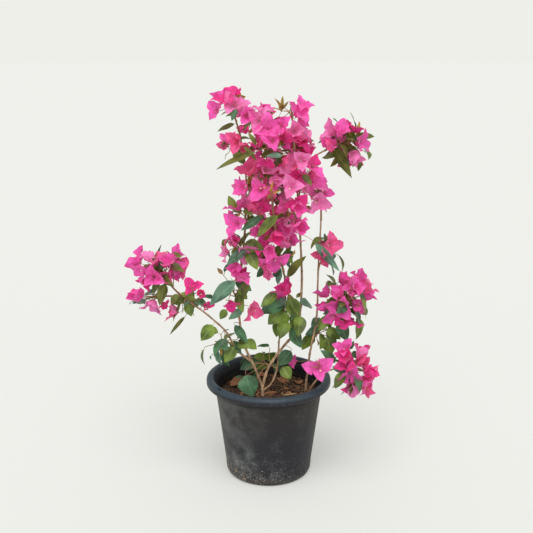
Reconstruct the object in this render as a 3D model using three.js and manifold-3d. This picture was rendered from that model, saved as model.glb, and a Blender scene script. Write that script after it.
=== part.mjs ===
// Bougainvillea bush: a flowering vine kept as an upright bush in a round nursery pot.
// Millimetres, +Z up, origin at the centre of the pot's flat underside, front towards -Y.
// Thin canes rise from one root crown. Each mass of bracts and leaves grows on a stem of its own.
import * as THREE from "three";
import { mergeVertices } from "three/addons/utils/BufferGeometryUtils.js";
import Module from "manifold-3d";

const wasm = await Module();
wasm.setup();

// Pot and potting mix
const POT_HEIGHT = 245;
const RIM_RADIUS = 150;
const RIM_INNER_RADIUS = 133;
const RIM_DEPTH = 14;
const WALL_TOP = 226; // where the wall turns out under the rim
const WALL_TOP_RADIUS = 126;
const BASE_RADIUS = 102;
const WALL_THICKNESS = 3;
const FLOOR_THICKNESS = 5;
const FOOT_HEIGHT = 7; // the rounded foot of the wall
const FOOT_INSET = 5;
const FOOT_CHAMFER = 2;
const LIP_ROUND = 4;
const SOIL_LEVEL = 202;
const SOIL_EDGE_DROP = 4;
const SOIL_EDGE_WIDTH = 16;
const POT_SIDES = 48;

// Clearances
const JOINT_GAP = 0.3; // between a limb and what grows from it
const SPACE_GAP = 0.6; // between a mass's space and its wall
const LIMB_MARGIN = 1; // between a blade or twig and a limb
const POT_MARGIN = 5; // between a blade and the pot or soil

// Limbs and stems
const LIMB_SIDES = 6;
const LIMB_STEP = 40; // length of one row along a limb
const FLARE_REACH = 9; // how far up a root flare fades
const STEM_RADII = [2.8, 2];
const STEM_SIDES = 4;
const STEM_STEPS = 3;
const STEM_BEND = 0.35; // share of a stem's way that it keeps to its limb's direction
const STEM_OVERRUN = 0.3; // how far a stem runs past the middle, as a share of the least half size
const CHAIN_PIECES = 16; // straight pieces that stand for a curve where distances are tested

// Sizes of what grows. A spray is three blades round the end of a twig: the bracts of a bloom, or leaves.
const BLADES = 3;
const CORNERS = 4; // outline points a blade: shoulder, tip, shoulder, notch
const BRACT = { length: 46, width: 40, spread: 0.98, recurve: 0.1 };
const LEAF = { length: 66, width: 39, spread: 1.15, recurve: 0.25 };
const BLADE_WIDEST = 0.46; // share of a blade's length at which it is widest
const BLADE_LIFT = 2.6; // how high the middle of a spray stands over the end of its twig
const NOTCH = 0.14; // share of a blade's length at which two blades part
const TWIG_RADIUS = 1.9;
const TWIG_SIDES = 3;
const TWIG_SEAT = 0.8; // how far a twig's foot is sunk past the middle of its stem
const TWIG_CLEAR = 5; // the length of twig that the stem's own thickness takes up
const LANCE = { length: 84, width: 26, thickness: 2, fold: 0.14, seat: 6, foot: 0.9 };
const SPACE_SHARE = 1.2; // how far past its half sizes a mass may spread towards open air
const BLADE_HALF = 0.36; // share of a blade's width that is tested as its half width
const ATTEMPTS = 40; // places tried for each spray
const SEED_START = 1000;
const SEED_STEP = 77;
const GOLDEN_ANGLE = Math.PI * (3 - Math.sqrt(5));

// Canes and boughs: the radius at each end, the root flare and the smooth line through the points.
const LIMBS = [
  {
    name: "root_crown",
    radii: [5.6, 4.8],
    flare: 0.9,
    route: [[-15, -30, SOIL_LEVEL + JOINT_GAP], [-15, -30, 212], [-15, -29, 230]],
  },
  {
    name: "cane_left",
    radii: [3.6, 2.2],
    route: [[-15, -29, 226], [-34, -34, 279], [-60, -38, 345], [-70, -24, 440], [-56, -10, 590],
      [-52, -12, 740], [-62, -26, 815]],
  },
  {
    name: "cane_middle",
    radii: [3.9, 2.3],
    route: [[-15, -29, 226], [0, -20, 272], [36, -10, 322], [66, 4, 358], [78, 12, 450], [72, 10, 610],
      [60, 6, 760], [56, 2, 820]],
  },
  {
    name: "cane_leader",
    radii: [3.3, 2.1],
    route: [[-14, -29, 216], [7, -22, 232], [21, -8, 268], [25, 2, 330], [40, 6, 459], [16, 12, 600],
      [2, 6, 720], [-8, 0, 800]],
  },
  {
    name: "cane_outer",
    radii: [3.2, 2.1],
    flare: 0.6,
    route: [[91, 4, SOIL_LEVEL + JOINT_GAP], [91, 4, 212], [100, 2, 303], [114, 10, 381], [117, 16, 503],
      [122, 22, 620]],
  },
  {
    name: "cane_low",
    radii: [3, 2.2],
    flare: 0.5,
    route: [[94, -48, SOIL_LEVEL + JOINT_GAP], [94, -48, 210], [104, -60, 244], [128, -68, 276],
      [156, -66, 288]],
  },
  {
    name: "arm_left",
    radii: [3, 2.1],
    route: [[-38, -35, 290], [-76, -40, 326], [-99, -35, 366], [-148, -30, 411], [-196, -25, 446]],
  },
  {
    name: "arm_right",
    radii: [2.7, 2],
    route: [[111, 7, 360], [126, 0, 385], [146, -6, 408]],
  },
  {
    name: "arm_upper",
    radii: [2.7, 2],
    route: [[62, 7, 735], [92, 6, 766], [126, 2, 786]],
  },
];

// Masses of bracts and leaves: centre, half sizes, the limb each stem leaves and how far along it,
// the number of sprays tried, the share of them in bloom, and the tips of any long leaves.
const MASSES = [
  { name: "crest_left", at: [-84, -48, 889], half: [50, 46, 47],
    limb: "cane_left", along: 1, sprays: 9, bloom: 0.95 },
  { name: "crest_middle", at: [-14, -34, 856], half: [44, 42, 44],
    limb: "cane_leader", along: 0.98, sprays: 7, bloom: 0.8 },
  { name: "crest_right", at: [50, -12, 873], half: [54, 46, 45],
    limb: "cane_middle", along: 1, sprays: 9, bloom: 0.85 },
  { name: "crest_back", at: [-34, 52, 850], half: [54, 48, 44],
    limb: "cane_leader", along: 0.94, sprays: 8, bloom: 0.9 },
  { name: "upper_left", at: [-80, -62, 804], half: [50, 48, 44],
    limb: "cane_left", along: 0.9, sprays: 7, bloom: 0.6,
    lances: [[-118, -75, 762], [-113, -70, 840]] },
  { name: "upper_front", at: [8, -72, 798], half: [58, 50, 50],
    limb: "cane_leader", along: 0.9, sprays: 10, bloom: 0.9 },
  { name: "upper_back", at: [50, 64, 780], half: [60, 52, 56],
    limb: "cane_middle", along: 0.85, sprays: 10, bloom: 0.85 },
  { name: "upper_arm", at: [174, 0, 804], half: [58, 52, 58],
    limb: "arm_upper", along: 1, sprays: 9, bloom: 0.75,
    lances: [[192, -10, 726]] },
  { name: "core_left", at: [-24, -64, 726], half: [60, 50, 54],
    limb: "cane_left", along: 0.74, sprays: 10, bloom: 1 },
  { name: "core_right", at: [76, -46, 738], half: [50, 48, 58],
    limb: "cane_middle", along: 0.72, sprays: 9, bloom: 0.85 },
  { name: "core_back", at: [10, 74, 698], half: [66, 54, 58],
    limb: "cane_leader", along: 0.72, sprays: 10, bloom: 0.9 },
  { name: "shoulder_right", at: [118, 42, 690], half: [42, 46, 66],
    limb: "cane_outer", along: 1, sprays: 9, bloom: 0.95 },
  { name: "waist_left", at: [-44, -58, 650], half: [58, 50, 46],
    limb: "cane_left", along: 0.62, sprays: 9, bloom: 0.75 },
  { name: "waist_right", at: [58, -66, 650], half: [52, 50, 52],
    limb: "cane_middle", along: 0.6, sprays: 9, bloom: 0.9 },
  { name: "waist_back", at: [10, 72, 602], half: [64, 52, 54],
    limb: "cane_leader", along: 0.58, sprays: 9, bloom: 0.75 },
  { name: "under_left", at: [-76, -48, 572], half: [50, 46, 46],
    limb: "cane_left", along: 0.5, sprays: 7, bloom: 0.5 },
  { name: "under_middle", at: [22, -50, 552], half: [58, 48, 60],
    limb: "cane_leader", along: 0.5, sprays: 10, bloom: 0.75 },
  { name: "under_right", at: [146, 26, 552], half: [44, 46, 52],
    limb: "cane_outer", along: 0.72, sprays: 6, bloom: 0.6,
    lances: [[170, 20, 507]] },
  { name: "leaf_left", at: [-88, -56, 480], half: [54, 48, 58],
    limb: "cane_left", along: 0.34, sprays: 7, bloom: 0.35,
    lances: [[-135, -70, 444]] },
  { name: "leaf_middle", at: [54, -14, 430], half: [54, 50, 80],
    limb: "cane_leader", along: 0.3, sprays: 10, bloom: 0.1 },
  { name: "leaf_low_left", at: [-112, -52, 346], half: [62, 48, 58],
    limb: "arm_left", along: 0.28, sprays: 8, bloom: 0,
    lances: [[-159, -50, 357]] },
  { name: "arm_left_tip", at: [-258, -20, 518], half: [74, 54, 54],
    limb: "arm_left", along: 1, sprays: 12, bloom: 0.9 },
  { name: "arm_left_under", at: [-296, -22, 438], half: [56, 48, 48],
    limb: "arm_left", along: 0.96, sprays: 8, bloom: 0.8 },
  { name: "arm_left_root", at: [-188, -24, 430], half: [52, 50, 60],
    limb: "arm_left", along: 0.84, sprays: 7, bloom: 0.5 },
  { name: "arm_right_spray", at: [182, -12, 438], half: [74, 58, 74],
    limb: "arm_right", along: 1, sprays: 15, bloom: 0.7 },
  { name: "leaf_right", at: [128, 24, 350], half: [46, 48, 60],
    limb: "cane_outer", along: 0.3, sprays: 7, bloom: 0 },
  { name: "skirt_near", at: [112, -112, 316], half: [46, 44, 46],
    limb: "cane_low", along: 0.62, sprays: 7, bloom: 0.7 },
  { name: "skirt_far", at: [200, -58, 280], half: [56, 52, 74],
    limb: "cane_low", along: 1, sprays: 12, bloom: 0.75 },
  { name: "leaf_foot", at: [-16, -6, 272], half: [86, 78, 60],
    limb: "cane_leader", along: 0.1, sprays: 9, bloom: 0 },
];

const vector = (a) => new THREE.Vector3(...a);

// Turns a closed geometry into a solid: shared vertices are merged and collapsed triangles dropped.
function solidOf(geometry) {
  const bare = new THREE.BufferGeometry().setAttribute("position", geometry.getAttribute("position"));
  bare.setIndex(geometry.index);
  const merged = mergeVertices(bare, 1e-4);
  const corners = merged.index.array;
  const kept = [];
  for (let i = 0; i < corners.length; i += 3) {
    const [a, b, c] = corners.slice(i, i + 3);
    if (a !== b && b !== c && c !== a) kept.push(a, b, c);
  }
  return new wasm.Manifold(new wasm.Mesh({
    numProp: 3,
    vertProperties: new Float32Array(merged.attributes.position.array),
    triVerts: new Uint32Array(kept),
  }));
}

// Turns a solid back into a geometry.
function geometryOf(solid) {
  const mesh = solid.getMesh();
  const geometry = new THREE.BufferGeometry();
  geometry.setAttribute("position", new THREE.BufferAttribute(new Float32Array(mesh.vertProperties), 3));
  geometry.setIndex(new THREE.BufferAttribute(new Uint32Array(mesh.triVerts), 1));
  return geometry;
}

// Joins many small solids by halves, which keeps each union small.
function joined(solids) {
  if (solids.length === 1) return solids[0];
  const half = Math.ceil(solids.length / 2);
  return joined(solids.slice(0, half)).add(joined(solids.slice(half)));
}

// The largest of a solid's separate bodies, so that no loose scrap stays.
function largestBody(solid) {
  return solid.decompose().reduce((best, body) => (body.volume() > best.volume() ? body : best));
}

// A seeded sequence of numbers from 0 to 1.
function seededNumbers(seed) {
  let state = seed;
  return () => {
    state = (state * 1664525 + 1013904223) % 4294967296;
    return state / 4294967296;
  };
}

// A round tapering limb along a curve: a cylinder whose rows are laid on the curve's own frames.
function limbGeometry(curve, startRadius, endRadius, sides, steps, flare = 0) {
  const geometry = new THREE.CylinderGeometry(endRadius, startRadius, 1, sides, steps);
  const { binormals, normals } = curve.computeFrenetFrames(steps, false);
  const position = geometry.getAttribute("position");
  const length = curve.getLength();
  for (let i = 0; i < position.count; i++) {
    const along = position.getY(i) + 0.5;
    const step = Math.round(along * steps);
    const swell = 1 + flare * Math.exp((-along * length) / FLARE_REACH);
    const point = curve.getPointAt(along)
      .addScaledVector(binormals[step], position.getX(i) * swell)
      .addScaledVector(normals[step], position.getZ(i) * swell);
    position.setXYZ(i, point.x, point.y, point.z);
  }
  return geometry;
}

// A spray as one closed piece: a three-sided twig whose end opens into three blades.
// A cylinder of four sides a blade gives it: the two lower rows are drawn together to three corners,
// and the last row is drawn out to each blade's shoulder, tip, shoulder and the notch beside it.
function sprayGeometry({ start, end, axis, side, blades }) {
  const sides = CORNERS * BLADES;
  const geometry = new THREE.CylinderGeometry(1, 1, 1, sides, 2);
  const across = new THREE.Vector3().crossVectors(axis, side);
  const position = geometry.getAttribute("position");
  for (let i = 0; i < position.count; i++) {
    const [x, height, z] = [position.getX(i), position.getY(i), position.getZ(i)];
    const isCentre = Math.hypot(x, z) < 0.5;
    const turn = (Math.atan2(x, z) / (2 * Math.PI) + 1) * sides;
    const corner = Math.round(turn) % sides;
    const point = (height < -0.4 ? start : end).clone();
    if (height > 0.4 && isCentre) {
      point.addScaledVector(axis, BLADE_LIFT);
    } else if (height > 0.4) {
      point.copy(outlineOf({ end, axis, side, blades })[corner]);
    } else if (!isCentre) {
      const angle = (2 * Math.PI * (Math.floor(corner / CORNERS) + 0.5)) / BLADES;
      point.addScaledVector(side, TWIG_RADIUS * Math.cos(angle));
      point.addScaledVector(across, TWIG_RADIUS * Math.sin(angle));
    }
    position.setXYZ(i, point.x, point.y, point.z);
  }
  return geometry;
}

// The outline of a spray's blades.
function outlineOf({ end, axis, side, blades }) {
  const across = new THREE.Vector3().crossVectors(axis, side);
  return blades.flatMap(({ length, width, spread, recurve }, i) => {
    const middle = (2 * Math.PI * (i + 0.5)) / BLADES;
    const place = (ahead, aside, turn, drop) => {
      const angle = middle + turn;
      const out = side.clone().multiplyScalar(Math.cos(angle)).addScaledVector(across, Math.sin(angle));
      const edge = side.clone().multiplyScalar(-Math.sin(angle)).addScaledVector(across, Math.cos(angle));
      return end.clone()
        .addScaledVector(out, ahead * Math.sin(spread))
        .addScaledVector(axis, ahead * Math.cos(spread) - drop)
        .addScaledVector(edge, aside);
    };
    return [
      place(BLADE_WIDEST * length, -width / 2, 0, 0),
      place(length, 0, 0, recurve * length),
      place(BLADE_WIDEST * length, width / 2, 0, 0),
      place(NOTCH * length, 0, Math.PI / BLADES, 0),
    ];
  });
}

// A single long leaf: an octahedron drawn out to a folded kite, from root towards tip.
function lanceGeometry(root, tip) {
  const geometry = new THREE.OctahedronGeometry(1);
  const forward = tip.clone().sub(root).normalize();
  const lift = new THREE.Vector3(0, 0, 1).addScaledVector(forward, -forward.z).normalize();
  const left = new THREE.Vector3().crossVectors(lift, forward);
  const length = tip.distanceTo(root);
  const position = geometry.getAttribute("position");
  for (let i = 0; i < position.count; i++) {
    const [x, y, z] = [position.getX(i), position.getY(i), position.getZ(i)];
    const ahead = (x > 0 ? BLADE_WIDEST + x * (1 - BLADE_WIDEST) : BLADE_WIDEST * (1 + x)) * length;
    const point = root.clone()
      .addScaledVector(forward, ahead)
      .addScaledVector(left, (y * LANCE.width) / 2)
      .addScaledVector(lift, (z * LANCE.thickness) / 2 + Math.abs(y) * LANCE.fold * LANCE.width);
    position.setXYZ(i, point.x, point.y, point.z);
  }
  return geometry;
}

// The nearest distance between the segments a0-a1 and b0-b1.
function segmentDistance(a0, a1, b0, b1) {
  const u = a1.clone().sub(a0);
  const v = b1.clone().sub(b0);
  const w = a0.clone().sub(b0);
  const [uu, uv, vv, uw, vw] = [u.dot(u), u.dot(v), v.dot(v), u.dot(w), v.dot(w)];
  const clamp = (x) => Math.min(1, Math.max(0, x));
  const slant = uu * vv - uv * uv;
  let s = slant > 1e-9 ? clamp((uv * vw - vv * uw) / slant) : 0;
  const t = clamp((uv * s + vw) / vv);
  s = clamp((uv * t - uw) / uu);
  return a0.clone().addScaledVector(u, s).distanceTo(b0.clone().addScaledVector(v, t));
}

// A limb or stem as a chain of short straight pieces, for the test of what touches what.
function chainOf(owner, curve, startRadius, endRadius) {
  const points = curve.getSpacedPoints(CHAIN_PIECES);
  return points.slice(1).map((end, i) => ({
    owner,
    start: points[i],
    end,
    radius: startRadius + ((endRadius - startRadius) * i) / CHAIN_PIECES,
  }));
}

// The inner radius of the pot's wall at a height.
function innerRadiusAt(z) {
  const share = (z - FOOT_HEIGHT) / (WALL_TOP - FOOT_HEIGHT);
  return BASE_RADIUS + (WALL_TOP_RADIUS - BASE_RADIUS) * share - WALL_THICKNESS;
}

// The distance from an ellipsoid's centre to its surface along a unit direction.
function reachAlong(half, direction) {
  return 1 / Math.hypot(direction.x / half[0], direction.y / half[1], direction.z / half[2]);
}

// The flat walls between a mass and its neighbours, which keep each mass in a space of its own.
function wallsOf(mass) {
  const centre = vector(mass.at);
  return MASSES.filter((other) => other !== mass).map((other) => {
    const normal = vector(other.at).sub(centre);
    const distance = normal.length();
    normal.divideScalar(distance);
    const own = reachAlong(mass.half, normal);
    const theirs = reachAlong(other.half, normal);
    return { normal, offset: normal.dot(centre) + (distance * own) / (own + theirs) - SPACE_GAP };
  });
}

// Whether a point is clear of the pot and its soil.
function clearOfPot(p) {
  const radius = Math.hypot(p.x, p.y);
  const overRim = p.z > POT_HEIGHT + POT_MARGIN;
  const outside = radius > RIM_RADIUS + POT_MARGIN;
  const overSoil = radius < innerRadiusAt(SOIL_LEVEL) - POT_MARGIN && p.z > SOIL_LEVEL + POT_MARGIN;
  return overRim || outside || overSoil;
}

// Whether points all lie in a mass's own space and clear of the pot.
function inSpace(mass, walls, points) {
  return points.every((p) => {
    const q = p.clone().sub(vector(mass.at));
    const share = Math.hypot(q.x / mass.half[0], q.y / mass.half[1], q.z / mass.half[2]);
    return share < SPACE_SHARE && clearOfPot(p) && walls.every((wall) => wall.normal.dot(p) < wall.offset);
  });
}

// Whether a straight piece of the given half width is clear of every limb and every other mass's stem.
function clearOfLimbs(mass, chains, start, end, halfWidth) {
  return chains.every((chain) => chain.owner === mass.name
    || segmentDistance(start, end, chain.start, chain.end) > chain.radius + halfWidth + LIMB_MARGIN);
}

// One proposed spray: its twig runs from the mass's stem to a point spread evenly through the space.
function proposeSpray(mass, stem, index, attempt, phase, random) {
  const height = 1 - (2 * index + 1) / mass.sprays;
  const turn = phase + GOLDEN_ANGLE * index + 0.2 * attempt * (random() - 0.5);
  const flat = Math.sqrt(1 - height * height);
  const direction = new THREE.Vector3(flat * Math.cos(turn), flat * Math.sin(turn), height);
  direction.z += 0.1 * attempt * (random() - 0.5);
  direction.normalize();
  const inBloom = random() < mass.bloom;
  const kind = inBloom ? BRACT : LEAF;
  const size = (1 - 0.01 * attempt) * (0.9 + 0.2 * random());
  const surface = reachAlong(mass.half, direction);
  const bladeReach = size * kind.length * Math.cos(0.9 * kind.spread);
  const depth = Math.max(0.2 * surface, 1.08 * surface - bladeReach * (1 + 0.02 * attempt));
  const end = vector(mass.at).addScaledVector(direction, depth);
  const start = stem.getPoint(Math.min(0.98, 0.5 + 0.35 * random() + 0.006 * attempt));
  const axis = end.clone().sub(start).normalize().multiplyScalar(0.3).addScaledVector(direction, 0.8);
  axis.z += inBloom ? 0.15 : 0;
  axis.normalize();
  const side = new THREE.Vector3(axis.y, -axis.x, 0.2).cross(axis).normalize()
    .applyAxisAngle(axis, 2 * Math.PI * random());
  const blades = [];
  for (let i = 0; i < BLADES; i++) {
    const scale = size * (inBloom ? 0.94 + 0.12 * random() : 0.72 + 0.4 * random());
    blades.push({
      length: kind.length * scale,
      width: kind.width * scale,
      spread: kind.spread * (0.85 + 0.3 * random()),
      recurve: kind.recurve,
    });
  }
  start.addScaledVector(end.clone().sub(start).normalize(), -TWIG_SEAT);
  return { start, end, axis, side, blades };
}

// One mass: its stem, the sprays that fit round it without crossing, and any long leaves.
function growMass(mass, index) {
  const random = seededNumbers(SEED_START + SEED_STEP * index);
  const stem = stems[index];
  const walls = wallsOf(mass);
  const stemSolid = solidOf(limbGeometry(stem, ...STEM_RADII, STEM_SIDES, STEM_STEPS));
  const pieces = [stemSolid];
  let taken = stemSolid;
  const phase = 2 * Math.PI * random();
  for (let i = 0; i < mass.sprays; i++) {
    for (let attempt = 0; attempt < ATTEMPTS; attempt++) {
      const spray = proposeSpray(mass, stem, i, attempt, phase, random);
      const outline = outlineOf(spray);
      const isClear = inSpace(mass, walls, [spray.start, ...outline])
        && clearOfLimbs(mass, chains, spray.start, spray.end, TWIG_RADIUS)
        && spray.blades.every(({ width }, k) =>
          clearOfLimbs(mass, chains, spray.end, outline[CORNERS * k + 1], BLADE_HALF * width));
      if (!isClear) continue;
      const along = spray.end.clone().sub(spray.start).normalize();
      const pastStem = spray.start.clone().addScaledVector(along, TWIG_CLEAR);
      const beyondStem = solidOf(sprayGeometry({ ...spray, start: pastStem }));
      if (!beyondStem.intersect(taken).isEmpty()) continue;
      taken = taken.add(beyondStem);
      pieces.push(solidOf(sprayGeometry(spray)));
      break;
    }
  }
  for (const tip of (mass.lances ?? []).map(vector)) {
    const foot = stem.getPoint(LANCE.foot);
    const towards = tip.clone().sub(foot).normalize();
    const twigLength = Math.max(0.1 * tip.distanceTo(foot), tip.distanceTo(foot) - LANCE.length);
    const root = foot.clone().addScaledVector(towards, twigLength);
    const twigEnd = root.clone().addScaledVector(towards, LANCE.seat);
    foot.addScaledVector(towards, -TWIG_SEAT);
    const twig = new THREE.LineCurve3(foot, twigEnd);
    pieces.push(solidOf(limbGeometry(twig, TWIG_RADIUS, TWIG_RADIUS, TWIG_SIDES, 1)));
    pieces.push(solidOf(lanceGeometry(root, tip)));
  }
  let whole = joined(pieces);
  for (const cutter of limbCutters) whole = whole.subtract(cutter);
  for (const cutter of stemCutters.slice(0, index)) whole = whole.subtract(cutter);
  return largestBody(whole);
}

const limbCurves = new Map();
const solids = new Map();

// Canes and boughs, each cut clear of the limb that it leaves.
const limbCutters = [];
for (const { name, radii, route, flare = 0 } of LIMBS) {
  const curve = new THREE.CatmullRomCurve3(route.map(vector), false, "centripetal");
  const steps = Math.max(4, Math.round(curve.getLength() / LIMB_STEP));
  const [start, end] = radii;
  let solid = solidOf(limbGeometry(curve, start, end, LIMB_SIDES, steps, flare));
  for (const cutter of limbCutters) solid = solid.subtract(cutter);
  solids.set(name, largestBody(solid));
  const wider = limbGeometry(curve, start + JOINT_GAP, end + JOINT_GAP, LIMB_SIDES, steps, flare);
  limbCutters.push(solidOf(wider));
  limbCurves.set(name, curve);
}

// The stem of each mass: it leaves its limb, bends towards the middle of the mass and runs on past it.
const stems = MASSES.map((mass) => {
  const limb = limbCurves.get(mass.limb);
  const foot = limb.getPointAt(mass.along);
  const tangent = limb.getTangentAt(mass.along);
  const outward = vector(mass.at).sub(foot);
  if (mass.along === 1) foot.addScaledVector(tangent, JOINT_GAP);
  const bend = foot.clone().addScaledVector(tangent, STEM_BEND * outward.length());
  const tip = vector(mass.at).addScaledVector(outward.normalize(), STEM_OVERRUN * Math.min(...mass.half));
  return new THREE.QuadraticBezierCurve3(foot, bend, tip);
});
const stemCutters = stems.map((stem) =>
  solidOf(limbGeometry(stem, ...STEM_RADII.map((radius) => radius + JOINT_GAP), STEM_SIDES, STEM_STEPS)));

const chains = LIMBS.flatMap(({ name, radii }) => chainOf(name, limbCurves.get(name), ...radii));
MASSES.forEach((mass, i) => chains.push(...chainOf(mass.name, stems[i], ...STEM_RADII)));
MASSES.forEach((mass, i) => solids.set(mass.name, growMass(mass, i)));

// A closed profile of radius and height, from axis to axis, turned round the pot's upright axis.
function turned(profile) {
  return new THREE.LatheGeometry(profile.map(([radius, z]) => new THREE.Vector2(radius, z)), POT_SIDES)
    .rotateX(Math.PI / 2);
}

// Pot: from the flat underside up the wall, over the rolled lip and down inside to the floor.
function potGeometry() {
  return turned([
    [0, 0],
    [BASE_RADIUS - FOOT_INSET, 0],
    [BASE_RADIUS - FOOT_CHAMFER, FOOT_CHAMFER],
    [BASE_RADIUS, FOOT_HEIGHT],
    [WALL_TOP_RADIUS, WALL_TOP],
    [RIM_RADIUS - LIP_ROUND, POT_HEIGHT - RIM_DEPTH],
    [RIM_RADIUS, POT_HEIGHT - RIM_DEPTH + LIP_ROUND],
    [RIM_RADIUS, POT_HEIGHT - LIP_ROUND],
    [RIM_RADIUS - LIP_ROUND, POT_HEIGHT],
    [RIM_INNER_RADIUS + LIP_ROUND, POT_HEIGHT],
    [RIM_INNER_RADIUS, POT_HEIGHT - LIP_ROUND],
    [innerRadiusAt(SOIL_LEVEL), SOIL_LEVEL],
    [innerRadiusAt(FLOOR_THICKNESS), FLOOR_THICKNESS],
    [0, FLOOR_THICKNESS],
  ]);
}

// Potting mix: it fills the pot to a level top that drops a little at the wall.
function soilGeometry() {
  const edge = SOIL_LEVEL - SOIL_EDGE_DROP;
  return turned([
    [0, FLOOR_THICKNESS + JOINT_GAP],
    [innerRadiusAt(FLOOR_THICKNESS) - 2 * JOINT_GAP, FLOOR_THICKNESS + JOINT_GAP],
    [innerRadiusAt(edge) - 2 * JOINT_GAP, edge],
    [innerRadiusAt(edge) - SOIL_EDGE_WIDTH, SOIL_LEVEL],
    [0, SOIL_LEVEL],
  ]);
}

const FINISHES = {
  pot: new THREE.MeshStandardMaterial({ color: 0x3b3d40, roughness: 0.55, metalness: 0 }),
  soil: new THREE.MeshStandardMaterial({ color: 0x6b4a33, roughness: 1, metalness: 0 }),
  bark: new THREE.MeshStandardMaterial({ color: 0x9a7b5e, roughness: 0.85, metalness: 0 }),
  bracts: new THREE.MeshStandardMaterial({ color: 0xe0409a, roughness: 0.6, metalness: 0 }),
  leaves: new THREE.MeshStandardMaterial({ color: 0x5a7a38, roughness: 0.5, metalness: 0 }),
};
const MOSTLY_BLOOM = 0.4;

const bush = new THREE.Group();

function addNode(name, solid, finish) {
  const mesh = new THREE.Mesh(geometryOf(solid), FINISHES[finish]);
  mesh.name = name;
  bush.add(mesh);
}

addNode("pot", solidOf(potGeometry()), "pot");
addNode("soil", solidOf(soilGeometry()), "soil");
LIMBS.forEach(({ name }) => addNode(name, solids.get(name), "bark"));
MASSES.forEach(({ name, bloom }) => {
  addNode(name, solids.get(name), bloom > MOSTLY_BLOOM ? "bracts" : "leaves");
});

export default bush;
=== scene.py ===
# Bougainvillea bush in its nursery pot: the finished surfaces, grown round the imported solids.
# Lengths are millimetres, +Z up, and become metres when a mesh is written.
from collections import namedtuple
from functools import cache

import bpy
import numpy as np
from mathutils import Euler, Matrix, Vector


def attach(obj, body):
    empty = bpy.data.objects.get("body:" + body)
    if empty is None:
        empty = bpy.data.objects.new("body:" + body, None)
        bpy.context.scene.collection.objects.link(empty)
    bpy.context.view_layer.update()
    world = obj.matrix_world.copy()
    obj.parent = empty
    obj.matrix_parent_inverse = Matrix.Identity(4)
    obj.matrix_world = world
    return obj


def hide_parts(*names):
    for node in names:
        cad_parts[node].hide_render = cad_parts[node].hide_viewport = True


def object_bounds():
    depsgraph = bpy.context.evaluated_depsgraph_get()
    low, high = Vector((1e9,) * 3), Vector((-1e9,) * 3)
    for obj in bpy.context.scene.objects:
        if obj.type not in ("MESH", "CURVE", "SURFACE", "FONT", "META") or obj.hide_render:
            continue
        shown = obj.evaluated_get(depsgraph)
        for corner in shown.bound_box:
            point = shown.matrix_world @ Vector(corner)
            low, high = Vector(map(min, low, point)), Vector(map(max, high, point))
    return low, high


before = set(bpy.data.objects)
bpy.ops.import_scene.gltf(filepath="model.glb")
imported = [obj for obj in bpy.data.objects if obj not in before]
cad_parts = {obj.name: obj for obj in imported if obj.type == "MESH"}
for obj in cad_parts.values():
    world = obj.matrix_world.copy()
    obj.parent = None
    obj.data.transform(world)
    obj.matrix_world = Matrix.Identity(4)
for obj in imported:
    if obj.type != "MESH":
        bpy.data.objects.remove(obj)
CAD_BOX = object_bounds()

bl_info = {
    "name": "Potted Bougainvillea Bush",
    "version": (1, 0, 0),
    "blender": (4, 5, 0),
    "location": "View3D > Sidebar > Bush",
    "description": "Builds a flowering bougainvillea bush with its pot from named sizes and colours",
    "category": "Add Mesh",
}

MM = 0.001
BODY = "root"

# Pot and potting mix
POT_HEIGHT = 245
RIM_RADIUS = 150
RIM_INNER_RADIUS = 133
RIM_DEPTH = 19
WALL_TOP = 221
WALL_TOP_RADIUS = 129.5
BASE_RADIUS = 102
WALL_THICKNESS = 3
FLOOR_THICKNESS = 5
FOOT_HEIGHT = 7
FOOT_INSET = 5
WALL_SLOPE = (WALL_TOP_RADIUS - BASE_RADIUS) / (WALL_TOP - FOOT_HEIGHT)
LIP_ROUND = 4
LIP_TOP_ROUND = 8  # of the rim's upper outer edge
RIM_CROWN = 0.8  # how far the edges of the rim's top lie below its middle
BAND = (9, 20)  # the plain band round the foot of the wall
BAND_PROUD = 0.9
ROWS_A_RIDGE = 6
POT_COLUMNS = 176
SLOT_ANGLE = -145  # degrees round from +X, at the front left
SLOT_SIZE = (18, 6.4)  # along and across the rim
SLOT_DEPTH = 9
SLOT_RADIUS = 143
SOIL_LEVEL = 202
SOIL_EDGE_DROP = 4
SOIL_EDGE_WIDTH = 16
SOIL_LUMP = 5  # height from hollow to lump
SOIL_LUMPS = ((26, 0.5, 0, 0), (9, 0.3, 90, 0), (4, 0.2, 0, 70))  # size, share, and shift along x and y
SOIL_MEAN = 0.55
SOIL_ROWS = 64
SOIL_COLUMNS = 160

# Litter on the potting mix. Each pair is the least and the most, and a chip's sizes are halves.
CHIP_CORNERS = 6
CHIP_LENGTHS = (2.4, 9)
CHIP_WIDTHS = (0.35, 0.8)  # shares of the length
CHIP_THICKNESSES = (0.6, 1.6)
CHIP_JAGS = (0.7, 1.2)  # how far a corner reaches, as a share
CHIP_UNDER = 0.9  # its lower face beside its upper one
CHIP_EDGES = (0.6, 1)  # how high the upper face lies, as a share of the thickness
CHIP_TILT = 0.28
CHIP_ROLL = 0.3
CHIP_LIFT = 0.8
LITTER_INSET = 5  # how far litter stays inside the edge of the potting mix
FIBRE_LENGTHS = (8, 26)
FIBRE_LIFTS = (1.5, 6)
FIBRE_BOW = 3.5
FIBRE_ENDS_LIFT = 0.4
FIBRE_INSET = 6
FIBRE_TAPER = (0.34, 0.2)
FIBRE_ROWS = 6
FIBRE_SIDES = 3
STICKS = (((36, -30), (69, -20)), ((-44, -34), (-62, -12)), ((-70, 30), (-38, 52)), ((20, 74), (52, 58)))
STICK_RADII = (2.1, 2.2, 2, 2.1, 1.9, 2, 1.8, 1.7, 1.2)
STICK_SIDES = 8
STICK_LIFT = 2.6
STICK_BOW = np.array([1.5, -1.5, 1.5])
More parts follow.
